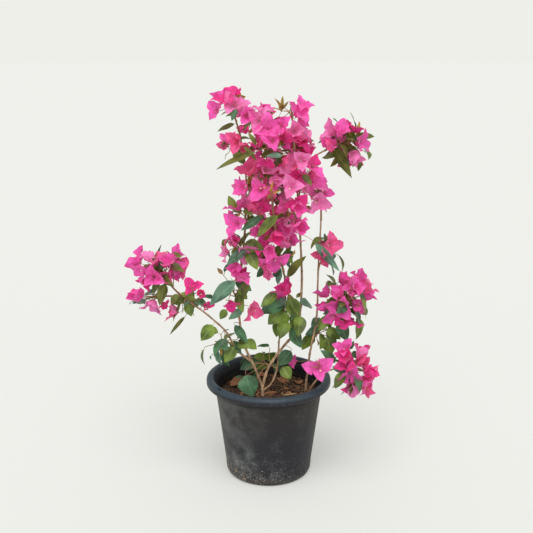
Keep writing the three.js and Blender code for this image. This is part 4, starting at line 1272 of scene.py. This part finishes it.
def potting_mix(settings):
    """Coir potting mix, loosely filled: matt, dark and damp in the hollows and dry on the crumbs."""
    material, tree = new_material("coir potting mix")
    crumb, colour = mottled(tree, 7, (0.34, 0.72), (settings.dark_colour, settings.light_colour),
                            detail=6, roughness=0.7)
    bump = node(tree, "ShaderNodeBump", {"Strength": 0.8, "Distance": 3 * MM, "Height": crumb})
    shader = node(tree, "ShaderNodeBsdfPrincipled", {
        "Base Color": colour, "Roughness": 0.95, "Specular IOR Level": 0.2, "Normal": bump})
    node(tree, "ShaderNodeOutputMaterial", {"Surface": shader})
    return material


def dry_plant_matter(name, colour, size, dark=0.55):
    """Dry husk, fibre or leaf, broken and matt: each scrap is a little lighter or darker than the next."""
    material, tree = new_material(name)
    _, base = mottled(tree, size, (0.3, 0.68), (toned(colour, dark), colour), detail=3, roughness=0.7)
    shader = node(tree, "ShaderNodeBsdfPrincipled", {"Base Color": base, "Roughness": 0.85,
                                                     "Specular IOR Level": 0.25})
    node(tree, "ShaderNodeOutputMaterial", {"Surface": shader})
    return material


def cane_bark(settings):
    """Bougainvillea bark, thin and drying: tan and paler in patches, with fine furrows drawn out along
    the cane."""
    material, tree = new_material("bougainvillea bark")
    furrow, base = mottled(tree, 2.6, (0.36, 0.6), (settings.furrow_colour, settings.bark_colour),
                           detail=5, stretch=(1, 1, 0.16))
    place = node(tree, "ShaderNodeTexCoord", output="Object")
    patch = node(tree, "ShaderNodeTexNoise", {"Vector": place, "Scale": 1 / (24 * MM), "Detail": 3,
                                              "Roughness": 0.55})
    pale = node(tree, "ShaderNodeMapRange", {"Value": patch, "From Min": 0.45, "From Max": 0.75},
                interpolation_type="SMOOTHSTEP")
    base = coated(tree, base, ((toned(settings.bark_colour, 1.35), pale, 0.6),))
    bump = node(tree, "ShaderNodeBump", {"Strength": 0.6, "Distance": 0.5 * MM, "Height": furrow})
    shader = node(tree, "ShaderNodeBsdfPrincipled", {
        "Base Color": base, "Roughness": 0.8, "Specular IOR Level": 0.3, "Normal": bump})
    node(tree, "ShaderNodeOutputMaterial", {"Surface": shader})
    return material


def green_wood(settings):
    """Young green wood, smooth skinned: olive with a reddish blush in places."""
    material, tree = new_material("young green wood")
    _, base = mottled(tree, 38, (0.42, 0.62), (settings.twig_colour, settings.blush_colour), detail=3)
    shader = node(tree, "ShaderNodeBsdfPrincipled", {"Base Color": base, "Roughness": 0.55,
                                                     "Specular IOR Level": 0.4})
    node(tree, "ShaderNodeOutputMaterial", {"Surface": shader})
    return material


# How a living blade looks: the share of light it lets through, its roughness and sheen, how strongly its
# veins show, the size of its lighter and darker patches, and how dark and how light they are.
Skin = namedtuple("Skin", "clear rough sheen vein patch tones")
BRACT_SKIN = Skin(clear=0.3, rough=0.6, sheen=0.25, vein=0.36, patch=12, tones=(0.8, 1.22))
LEAF_SKIN = Skin(clear=0.22, rough=0.42, sheen=0.1, vein=0.3, patch=34, tones=(0.38, 1.45))
PATCH_ENDS = (0.34, 0.66)
SIDE_VEINS = 7  # from a blade's root to its tip
VEIN_SLANT = 5  # how far the side veins run up from the midrib
VEIN_ENDS = (0.09, 0)
MIDRIB_ENDS = (0.05, 0.012)  # shares of a blade's width


def living_blade(name, colour, glow, rib, skin):
    """A living bract or leaf: a soft or waxy face that lets part of the light through, with a midrib
    along the middle of the blade and side veins that leave it at a slant."""
    material, tree = new_material(name)
    places = node(tree, "ShaderNodeUVMap", uv_map="Places")
    x, y = (node(tree, "ShaderNodeSeparateXYZ", {"Vector": places}, axis) for axis in "XY")
    aside = node(tree, "ShaderNodeMath", {0: x, 1: 0.5}, operation="SUBTRACT")
    aside = node(tree, "ShaderNodeMath", {0: aside}, operation="ABSOLUTE")
    rise = node(tree, "ShaderNodeMath", {0: y, 1: SIDE_VEINS}, operation="MULTIPLY")
    slant = node(tree, "ShaderNodeMath", {0: aside, 1: -VEIN_SLANT, 2: rise}, operation="MULTIPLY_ADD")
    stripe = node(tree, "ShaderNodeMath", {0: slant, 1: 0.5}, operation="PINGPONG")
    side_vein, midrib = (
        node(tree, "ShaderNodeMapRange", {"Value": value, "From Min": ends[0], "From Max": ends[1]},
             interpolation_type="SMOOTHSTEP")
        for value, ends in ((stripe, VEIN_ENDS), (aside, MIDRIB_ENDS)))
    tones = [toned(colour, tone) for tone in skin.tones]
    _, base = mottled(tree, skin.patch, PATCH_ENDS, tones, easing="SMOOTHSTEP")
    base = coated(tree, base, ((rib, side_vein, skin.vein), (rib, midrib, min(1, 2 * skin.vein))))
    face = node(tree, "ShaderNodeBsdfPrincipled", {
        "Base Color": base, "Roughness": skin.rough, "Specular IOR Level": 0.35,
        "Sheen Weight": skin.sheen, "Sheen Roughness": 0.5})
    through = node(tree, "ShaderNodeBsdfTranslucent", {"Color": coated(tree, base, ((glow, 0.5),))})
    both = node(tree, "ShaderNodeMixShader", {"Fac": skin.clear, 1: face, 2: through})
    node(tree, "ShaderNodeOutputMaterial", {"Surface": both})
    return material


def flower_flesh(name, colour):
    """Flower flesh, thin and matt: soft and even."""
    material, tree = new_material(name)
    shader = node(tree, "ShaderNodeBsdfPrincipled", {"Base Color": rgba(colour), "Roughness": 0.6,
                                                     "Sheen Weight": 0.2})
    node(tree, "ShaderNodeOutputMaterial", {"Surface": shader})
    return material


def studio_floor(settings):
    """Matt paper floor: pale, plain and without gloss. A small glow keeps its shadows light."""
    material, tree = new_material("matt paper")
    shader = node(tree, "ShaderNodeBsdfPrincipled", {
        "Base Color": rgba(settings.floor_colour), "Roughness": 1, "Specular IOR Level": 0,
        "Emission Color": rgba(settings.backdrop_colour), "Emission Strength": FLOOR_GLOW})
    node(tree, "ShaderNodeOutputMaterial", {"Surface": shader})
    return material


def studio_surround(settings):
    """The studio round the floor: even light from all sides, and the pale backdrop that the camera sees."""
    world = bpy.data.worlds.new("studio surround")
    world.use_nodes = True
    tree = world.node_tree
    tree.nodes.clear()
    even = node(tree, "ShaderNodeBackground", {"Color": rgba(linear(SURROUND_TINT)),
                                               "Strength": settings.sky_strength})
    backdrop = node(tree, "ShaderNodeBackground", {"Color": rgba(settings.backdrop_colour)})
    seen = node(tree, "ShaderNodeLightPath", output="Is Camera Ray")
    both = node(tree, "ShaderNodeMixShader", {"Fac": seen, 1: even, 2: backdrop})
    node(tree, "ShaderNodeOutputWorld", {"Surface": both})
    return world


# Pieces

def pot_profile(pitch, depth):
    """The pot's radius and height, from the middle of its underside to the middle of its floor. The wall is
    a straight line less its ridges, which are depth times 0.5 + 0.5 sin(2 pi z / pitch)."""
    def arc(centre, radius, first, last, count=6):
        turn = np.radians(np.linspace(first, last, count))
        return np.stack([centre[0] + radius * np.cos(turn), centre[1] + radius * np.sin(turn)], axis=1)

    def ridged(low, high, shape):
        z = np.linspace(low, high, round(abs(high - low) / pitch * ROWS_A_RIDGE))
        fade = eased((z - min(low, high)) / 2) * eased((max(low, high) - z) / 2)
        return np.stack([shape(z) - depth * fade * (0.5 + 0.5 * np.sin(2 * np.pi * z / pitch)), z], axis=1)

    foot = np.array([[0, 0], [50, 0], [BASE_RADIUS - FOOT_INSET - 2, 0], [BASE_RADIUS - FOOT_INSET, 0.6],
                     [BASE_RADIUS - 1.6, 3.4], [wall_radius(BAND[0]) - 0.3, BAND[0] - 1.2],
                     [wall_radius(BAND[0]) + BAND_PROUD, BAND[0]],
                     [wall_radius(BAND[1]) + BAND_PROUD, BAND[1] - 0.6],
                     [wall_radius(BAND[1]) + 0.1, BAND[1] + 0.4]])
    lip_low = POT_HEIGHT - RIM_DEPTH + LIP_ROUND
    lip_high = POT_HEIGHT - LIP_ROUND - RIM_CROWN
    outer = RIM_RADIUS - LIP_ROUND
    shoulder = RIM_RADIUS - LIP_TOP_ROUND
    inner = RIM_INNER_RADIUS + LIP_ROUND
    neck = np.array([[WALL_TOP_RADIUS + 0.3, WALL_TOP], [WALL_TOP_RADIUS + 2, WALL_TOP + 1.6],
                     [outer - 8, lip_low - LIP_ROUND - 1.4]])
    across = np.linspace(shoulder, inner, 7)[1:-1]
    middle = (shoulder + inner) / 2
    crown = POT_HEIGHT - RIM_CROWN * ((across - middle) / (shoulder - middle)) ** 2
    mouth = inner_radius(SOIL_LEVEL)

    def inner_wall(z):
        return np.interp(z, (SOIL_LEVEL, WALL_TOP, lip_high),
                         (mouth, WALL_TOP_RADIUS - WALL_THICKNESS, RIM_INNER_RADIUS))

    return np.vstack([
        foot,
        ridged(BAND[1] + 1, WALL_TOP - 3, wall_radius),
        neck,
        arc((outer, lip_low), LIP_ROUND, -90, 0),
        arc((shoulder, POT_HEIGHT - RIM_CROWN - LIP_TOP_ROUND), LIP_TOP_ROUND, 0, 90, 9),
        np.stack([across, crown], axis=1),
        arc((inner, lip_high), LIP_ROUND, 90, 180),
        ridged(lip_high - 2, SOIL_LEVEL - 4, inner_wall),
        [[inner_radius(FLOOR_THICKNESS), FLOOR_THICKNESS], [0, FLOOR_THICKNESS]],
    ])


def soil_height(x, y):
    """The potting mix's top: the level less a drop at the wall, with lumps of three sizes."""
    edge = inner_radius(SOIL_LEVEL) - SOIL_EDGE_WIDTH
    drop = SOIL_EDGE_DROP * eased((np.hypot(x, y) - edge) / SOIL_EDGE_WIDTH)
    rough = sum(share * lumps(x + right, y + back, size) for size, share, right, back in SOIL_LUMPS)
    return SOIL_LEVEL - drop + SOIL_LUMP * (rough - SOIL_MEAN)


class BUSH_OT_pot(bpy.types.Operator):
    """Make the ridged pot with its rolled rim"""
    bl_idname = "bush.pot"
    bl_label = "Pot"

    def execute(self, context):
        settings = context.scene.bush_pot
        profile = pot_profile(settings.ridge_pitch / MM, settings.ridge_depth / MM)
        turn = turns(POT_COLUMNS)
        radius = profile[:, :1]
        # The slot in the rim's top: its sides slope over 3 mm along the rim and 1.5 mm across it.
        off = (turn - np.radians(SLOT_ANGLE) + np.pi) % (2 * np.pi) - np.pi
        along = eased((SLOT_SIZE[0] / 2 + 2 - np.abs(off * SLOT_RADIUS)) / 3)
        across = eased((SLOT_SIZE[1] / 2 + 1 - np.abs(radius - SLOT_RADIUS)) / 1.5)
        on_top = profile[:, 1:] > POT_HEIGHT - 2
        height = profile[:, 1:] - SLOT_DEPTH * along * across * on_top
        vertices, faces = revolved(radius, height, POT_COLUMNS)
        mesh = mesh_of("pot_shell", vertices, faces)
        add_piece("pot_shell", mesh, [moulded_polypropylene(settings)], ["pot"])
        return {"FINISHED"}


def scattered(count, least, most, rng):
    """Places spread evenly over the potting mix, between two radii."""
    radius = np.sqrt(rng.uniform(least**2, most**2, count))
    turn = rng.uniform(0, 2 * np.pi, count)
    return radius * np.cos(turn), radius * np.sin(turn)


def on_soil(places, lift):
    """Places on the potting mix, lifted a little, as points."""
    places = np.array(places, float)
    return np.column_stack([places, soil_height(*places.T) + lift])


def broken_chips(count, rng, most):
    """Broken chips: six-sided plates, longer than wide, lying at a tilt on the potting mix."""
    turn = turns(CHIP_CORNERS)
    jag = rng.uniform(*CHIP_JAGS, (count, CHIP_CORNERS))
    long = rng.uniform(*CHIP_LENGTHS, count)[:, None]
    wide = long * rng.uniform(*CHIP_WIDTHS, (count, 1))
    thick = rng.uniform(*CHIP_THICKNESSES, (count, 1))
    flat = np.stack([long * jag * np.cos(turn), wide * jag * np.sin(turn), 0 * jag], axis=-1)
    plate = np.stack([flat * CHIP_UNDER, flat], axis=1)
    plate[:, 0, :, 2] = -thick
    plate[:, 1, :, 2] = thick * rng.uniform(*CHIP_EDGES, (count, 1))
    ahead = unit(rng.normal(0, 1, (count, 3)) * np.array([1, 1, CHIP_TILT]))
    up = square_to(ahead, unit(UP + rng.normal(0, CHIP_ROLL, (count, 3))))
    frames = np.stack([ahead, np.cross(up, ahead), up], axis=1)
    x, y = scattered(count, 0, most, rng)
    centre = np.stack([x, y, soil_height(x, y) + CHIP_LIFT], axis=1)
    vertices = np.einsum("nlvk,nkj->nlvj", plate, frames) + centre[:, None, None]
    first = np.arange(count)[:, None] * 2 * CHIP_CORNERS
    low = first + np.arange(CHIP_CORNERS)[::-1]
    top = first + CHIP_CORNERS + np.arange(CHIP_CORNERS)
    return vertices.reshape(-1, 3), [grid_faces(2, CHIP_CORNERS, True, count), low, top]


def loose_fibres(count, rng, most):
    """Thin curved fibres lying on the potting mix: an arc between two places, lifted in its middle."""
    x, y = scattered(count, 0, most - FIBRE_INSET, rng)
    turn = rng.uniform(0, 2 * np.pi, count)
    long = rng.uniform(*FIBRE_LENGTHS, count)
    far_x, far_y = x + long * np.cos(turn), y + long * np.sin(turn)
    inside = np.hypot(far_x, far_y) < most
    start = on_soil(np.stack([x, y], axis=1)[inside], FIBRE_ENDS_LIFT)
    end = on_soil(np.stack([far_x, far_y], axis=1)[inside], FIBRE_ENDS_LIFT)
    middle = (start + end) / 2 + rng.normal(0, FIBRE_BOW, start.shape) * np.array([1, 1, 0])
    middle[:, 2] += rng.uniform(*FIBRE_LIFTS, len(middle))
    lines = bezier(start, middle, end, FIBRE_ROWS)
    return tubes(lines, np.linspace(*FIBRE_TAPER, FIBRE_ROWS), FIBRE_SIDES)


def dry_sticks():
    """Short dry sticks on the potting mix: straight tubes with a slight bow."""
    start, end = (on_soil(places, STICK_LIFT) for places in zip(*STICKS))
    middle = (start + end) / 2 + STICK_BOW
    return tubes(bezier(start, middle, end, len(STICK_RADII)), np.array(STICK_RADII), STICK_SIDES)


def husk_lump():
    """One stout piece of husk that lies before the canes."""
    start, end = on_soil(HUSK_LUMP, HUSK_LIFT)
    line = bezier(start, (start + end) / 2 + HUSK_BOW * UP, end, len(HUSK_RADII))
    return tubes(line[None], np.array(HUSK_RADII), HUSK_SIDES)


def fallen_leaves(rng):
    """Dry leaves on the potting mix, curled along their midribs."""
    x, y, turn = np.array(FALLEN_LEAVES, float).T
    turn = np.radians(turn)
    root = np.stack([x, y, soil_height(x, y) + FALLEN_LIFT], axis=1)
    ahead = unit(np.stack([np.cos(turn), np.sin(turn), 0 * turn + FALLEN_RISE], axis=1))
    face = square_to(ahead, FALLEN_FACE + rng.normal(0, FALLEN_STRAY, ahead.shape))
    length = rng.uniform(*FALLEN_LENGTHS, len(x))
    bend = rng.uniform(*FALLEN_BENDS, len(x))
    return blades(root, ahead, face, length, FALLEN_SLIM * length, bend, LEAF, rng)[:2]


class BUSH_OT_potting_mix(bpy.types.Operator):
    """Make the potting mix with its husk chips, fibres, sticks and fallen leaves"""
    bl_idname = "bush.potting_mix"
    bl_label = "Potting Mix"

    def execute(self, context):
        settings = context.scene.bush_mix
        rng = np.random.default_rng(LITTER_SEED)
        edge = inner_radius(SOIL_LEVEL - SOIL_EDGE_DROP) - 1
        turn = turns(SOIL_COLUMNS)
        across = np.linspace(edge, 0, SOIL_ROWS)
        x, y = across[:, None] * np.cos(turn), across[:, None] * np.sin(turn)
        top = soil_height(x, y)
        top[-1] = soil_height(0.0, 0.0)
        floor = inner_radius(FLOOR_THICKNESS) - 2
        radius = np.concatenate([[0, floor], across])
        height = np.vstack([np.full((2, SOIL_COLUMNS), FLOOR_THICKNESS + 1), top])
        vertices, faces = revolved(radius, height, SOIL_COLUMNS)
        add_piece("potting_mix", mesh_of("potting_mix", vertices, faces), [potting_mix(settings)],
                  ["soil"])
        litter = edge - LITTER_INSET
        bark = mesh_of("bark_chips", *broken_chips(settings.bark_chips, rng, litter), smooth=False)
        material = dry_plant_matter("composted bark", settings.bark_colour, 8, dark=0.35)
        add_piece("bark_chips", bark, [material])
        husk = merged([broken_chips(settings.husk_chips, rng, litter), husk_lump(), fallen_leaves(rng)])
        husk = mesh_of("husk_chips", *husk, smooth=False)
        add_piece("husk_chips", husk, [dry_plant_matter("coconut husk", settings.husk_colour, 9)])
        fibres = mesh_of("coir_fibres", *merged([loose_fibres(settings.fibres, rng, litter), dry_sticks()]))
        add_piece("coir_fibres", fibres, [dry_plant_matter("dry coir", settings.fibre_colour, 12, dark=0.6)])
        return {"FINISHED"}


def cane_tube(limb, wood):
    """One limb: a tapering tube whose radius swells at the root and at each node, with low furrows. The
    radius is multiplied by 1 + flare e^(-d / flare reach) + swell e^(-(n / node reach)^2) (0.7 + 0.6 f)
    + 0.06 sin(3a + d/9) + 0.05 sin(5a - d/14 + 1) + small lumps. d is the way from the root, n that from
    the node, a the turn round the limb, and f the cosine of the turn from the side the node is on."""
    length = np.linalg.norm(np.diff(smooth_line(limb.route, CANE_MEASURE), axis=0), axis=1).sum()
    rows = max(12, round(length / CANE_ROW))
    line = smooth_line(limb.route, rows)
    along = np.linspace(0, length, rows)[:, None]
    angle = turns(CANE_SIDES)
    spacing = wood.node_spacing / MM
    which = np.rint(along / spacing)
    shift = spacing * NODE_SHIFT * (hashed(which, length) - 0.5)
    from_node = along - which * spacing - shift
    facing = np.cos(angle - which * NODE_TURN)
    swell = wood.node_swell * np.exp(-((from_node / NODE_REACH) ** 2)) * (0.7 + 0.6 * facing)
    furrows = 0.06 * np.sin(3 * angle + along / 9) + 0.05 * np.sin(5 * angle - along / 14 + 1)
    rough = 0.16 * (lumps(along * np.ones(CANE_SIDES), np.cos(angle) * 6 + length, 3.4) - 0.5)
    relief = 1 + limb.flare * np.exp(-along / FLARE_REACH) + swell + furrows + rough
    taper = CANE_SLIM * np.linspace(*limb.radii, rows)
    return tubes(line[None], taper[None], CANE_SIDES, relief[None])


class BUSH_OT_wood(bpy.types.Operator):
    """Make the canes and boughs, and the stems, twigs and petioles that grow on from them"""
    bl_idname = "bush.wood"
    bl_label = "Canes and Twigs"

    def execute(self, context):
        wood = context.scene.bush_wood
        canes = mesh_of("canes", *merged([cane_tube(limb, wood) for limb in LIMBS]))
        add_piece("canes", canes, [cane_bark(wood)], [limb.name for limb in LIMBS])
        growth = grown()
        rows = growth.stems[:, ::STEM_STEP]
        stems = tubes(rows, np.linspace(*STEM_RADII, rows.shape[1]), STEM_SIDES)
        twigs = tubes(growth.twigs, np.linspace(*TWIG_TAPER, TWIG_ROWS), TWIG_SIDES)
        fine = tubes(growth.fine, np.linspace(*FINE_TAPER, TWIG_ROWS), FINE_SIDES)
        mesh = mesh_of("twigs", *merged([stems, twigs, fine]))
        add_piece("twigs", mesh, [green_wood(wood)])
        return {"FINISHED"}


# The bracts' tints and the leaves' shades, with the colour of the light that comes through each.
BRACT_GLOWS = {"bright": "#FF55A8", "deep": "#F02C84", "pale": "#FF98CE", "coral": "#FF6C9C"}
TINT_ENDS = (0.46, 0.64, 0.84)  # where one tint's share of the blooms ends and the next begins
BRACT_RIB = 0.62  # a rib is darker than its bract
LEAF_GLOWS = {"green": "#8FB53A", "olive": "#A8A840", "blue": "#6FA860", "young": "#C49A3A",
              "teal": "#8FC0A0"}
LEAF_RIB = (1.5, 0.05)  # and paler than its leaf: times the first, plus the second


class BUSH_OT_blossom(bpy.types.Operator):
    """Make the bracts, in threes, and the small true flowers between them"""
    bl_idname = "bush.blossom"
    bl_label = "Blossom"

    def execute(self, context):
        settings = context.scene.bush_blossom
        blooms = grown().blooms
        rng = np.random.default_rng(BLOSSOM_SEED)
        count = len(blooms["root"])
        axis = blooms["axis"]
        side = turned_about(side_of(axis), axis, rng.uniform(0, 2 * np.pi, count))
        out = around(axis, side, turns(3) + rng.uniform(-TURN_MOST, TURN_MOST, (count, 3)))
        openness = rng.beta(*OPENNESS, (count, 1)) + rng.normal(0, OPENNESS_DRIFT, (count, 3))
        spread = BRACT_SPREAD[0] + BRACT_SPREAD[1] * openness
        bend = BRACT_BEND[0] + BRACT_BEND[1] * openness + rng.normal(0, BEND_DRIFT, (count, 3))
        cosine, sine = np.cos(spread)[..., None], np.sin(spread)[..., None]
        ahead = cosine * axis[:, None] + sine * out
        face = sine * axis[:, None] - cosine * out
        root = blooms["root"][:, None] + BRACT_ROOT * out
        size = blooms["size"][:, None] * rng.uniform(*BRACT_SIZES, (count, 3))
        draw = (blooms["draw"][:, None] + rng.normal(0, TINT_DRIFT, (count, 3))) % 1
        shade = np.digitize(draw, TINT_ENDS).ravel()
        bracts = dict(root=root.reshape(-1, 3), ahead=ahead.reshape(-1, 3), face=face.reshape(-1, 3),
                      length=size.ravel() * settings.bract_length / MM,
                      width=size.ravel() * settings.bract_width / MM, bend=bend.ravel())
        flowering = [mass.name for mass in MASSES if mass.bloom > MOSTLY_BLOOM]
        for number, (name, glow) in enumerate(BRACT_GLOWS.items()):
            made = blades(**rows_of(bracts, shade == number), kind=BRACT, rng=rng)
            colour = getattr(settings, f"{name}_colour")
            material = living_blade(f"{name} bougainvillea bract", colour, linear(glow),
                                    toned(colour, BRACT_RIB), BRACT_SKIN)
            mesh = mesh_of(f"bracts_{name}", *made)
            add_piece(f"bracts_{name}", mesh, [material], flowering)
        self.true_flowers(settings, blooms["root"], axis, side, rng)
        return {"FINISHED"}

    def true_flowers(self, settings, root, axis, side, rng):
        """Slender tubes from the middle of a bloom, most in bud. An open one has a small five-lobed mouth,
        whose rim is at the mouth's radius times 0.72 + 0.28 cos(5a)."""
        count = len(axis)
        out = around(axis, side, turns(3) + rng.uniform(0, 2, (count, 1)))
        keep = rng.random((count, 3)) < FLOWER_SHARE
        way = unit(axis[:, None] + FLOWER_LEAN * out)[keep]
        out = out[keep]
        long = rng.uniform(*FLOWER_LENGTHS, len(way))[:, None]
        start = np.broadcast_to(root[:, None], (count, 3, 3))[keep] + FLOWER_ROOT * out
        end = start + long * way
        middle = start + 0.5 * (end - start) + FLOWER_BOW * out
        is_open = rng.random(len(way)) < OPEN_SHARE
        radii = np.where(is_open[:, None], OPEN_RADII, BUD_RADII)
        tube = tubes(bezier(start, middle, end, len(BUD_RADII)), radii, FLOWER_SIDES)
        way, end = way[is_open], end[is_open]
        angle = turns(MOUTH_POINTS)
        rim = MOUTH_RADIUS * (0.72 + 0.28 * np.cos(5 * angle))
        radius = np.stack([np.full(MOUTH_POINTS, THROAT_RADIUS), rim])
        lift = np.array(MOUTH_LIFTS)[:, None, None]
        star = (end[:, None, None] + lift * way[:, None, None]
                + radius[..., None] * around(way, side_of(way), angle)[:, None])
        mouths = (star.reshape(-1, 3), [grid_faces(2, MOUTH_POINTS, True, len(way))])
        vertices, faces = merged([tube, mouths])
        slots = np.concatenate([np.full(sum(map(len, tube[1])), 0), np.full(len(mouths[1][0]), 1)])
        mesh = mesh_of("true_flowers", vertices, faces, slots=slots)
        materials = [flower_flesh("flower tube", settings.tube_colour),
                     flower_flesh("flower mouth", settings.mouth_colour)]
        add_piece("true_flowers", mesh, materials)


class BUSH_OT_foliage(bpy.types.Operator):
    """Make the leaves, folded along their midribs"""
    bl_idname = "bush.foliage"
    bl_label = "Foliage"

    def execute(self, context):
        settings = context.scene.bush_leaf
        leaves = grown().leaves
        rng = np.random.default_rng(FOLIAGE_SEED)
        length = leaves["size"] * settings.leaf_length / MM
        shapes = dict(root=leaves["root"], ahead=leaves["ahead"], face=leaves["face"], length=length,
                      width=length * leaves["slim"] * settings.leaf_fullness, bend=leaves["bend"])
        leafy_masses = [mass.name for mass in MASSES if mass.bloom <= MOSTLY_BLOOM]
        for number, (name, glow) in enumerate(LEAF_GLOWS.items()):
            made = blades(**rows_of(shapes, leaves["shade"] == number), kind=LEAF, rng=rng)
            colour = getattr(settings, f"{name}_colour")
            rib = tuple(min(1, LEAF_RIB[0] * part + LEAF_RIB[1]) for part in colour)
            material = living_blade(f"{name} bougainvillea leaf", colour, linear(glow), rib, LEAF_SKIN)
            mesh = mesh_of(f"leaves_{name}", *made)
            add_piece(f"leaves_{name}", mesh, [material], leafy_masses)
        return {"FINISHED"}


class BUSH_OT_stage(bpy.types.Operator):
    """Make the plain pale floor, the soft studio light and the camera"""
    bl_idname = "bush.stage"
    bl_label = "Stage"

    def execute(self, context):
        settings = context.scene.bush_stage
        scene = context.scene
        turn = turns(FLOOR_COLUMNS)
        radius = np.array(FLOOR_RINGS)[:, None] / MM
        disc = np.stack([radius * np.cos(turn), radius * np.sin(turn), 0 * radius * turn], axis=-1)
        faces = grid_faces(len(FLOOR_RINGS), FLOOR_COLUMNS, True)[:, ::-1]
        mesh = mesh_of("floor", disc, [faces], smooth=False)
        floor = bpy.data.objects.new("floor", mesh)
        mesh.materials.append(studio_floor(settings))
        scene.collection.objects.link(floor)
        for light in LIGHTS:
            sun = bpy.data.lights.new(light.name, "SUN")
            sun.energy = getattr(settings, f"{light.name}_strength")
            sun.angle = np.radians(light.softness)
            sun.color = linear(light.tint)
            lamp = bpy.data.objects.new(light.name, sun)
            lamp.rotation_euler = Euler(np.radians((light.turn, 0, 0)))
            scene.collection.objects.link(lamp)
        scene.world = studio_surround(settings)
        scene.view_settings.view_transform = "Standard"
        camera = bpy.data.objects.new("camera", bpy.data.cameras.new("camera"))
        camera.data.lens = CAMERA_LENS
        camera.data.sensor_width = SENSOR_WIDTH
        camera.location = np.array(CAMERA_AT) * MM
        camera.rotation_euler = Euler(np.radians((90 - CAMERA_DOWN, 0, 0)))
        scene.collection.objects.link(camera)
        scene.camera = camera
        return {"FINISHED"}


GROUPS = (
    ("bush_pot", PotSettings),
    ("bush_mix", MixSettings),
    ("bush_wood", WoodSettings),
    ("bush_blossom", BlossomSettings),
    ("bush_leaf", LeafSettings),
    ("bush_stage", StageSettings),
)
OPERATORS = (BUSH_OT_stage, BUSH_OT_pot, BUSH_OT_potting_mix, BUSH_OT_wood, BUSH_OT_blossom, BUSH_OT_foliage)


class BUSH_PT_panel(bpy.types.Panel):
    """Lists the bush's settings and pieces"""
    bl_label = "Potted Bougainvillea"
    bl_idname = "BUSH_PT_panel"
    bl_space_type = "VIEW_3D"
    bl_region_type = "UI"
    bl_category = "Bush"

    def draw(self, context):
        for operator in OPERATORS:
            self.layout.operator(operator.bl_idname)
        for name, group in GROUPS:
            box = self.layout.box()
            for setting in group.__annotations__:
                box.prop(getattr(context.scene, name), setting)


def register():
    """Registers the classes and hangs the settings on the scene."""
    for _, group in GROUPS:
        bpy.utils.register_class(group)
    for name, group in GROUPS:
        setattr(bpy.types.Scene, name, bpy.props.PointerProperty(type=group))
    for made in (*OPERATORS, BUSH_PT_panel):
        bpy.utils.register_class(made)


def unregister():
    """Takes the settings and classes away again."""
    for made in reversed((*OPERATORS, BUSH_PT_panel)):
        bpy.utils.unregister_class(made)
    for name, group in GROUPS:
        delattr(bpy.types.Scene, name)
        bpy.utils.unregister_class(group)


def main():
    register()
    for operator in OPERATORS:
        family, name = operator.bl_idname.split(".")
        getattr(getattr(bpy.ops, family), name)()


if __name__ == "__main__":
    main()
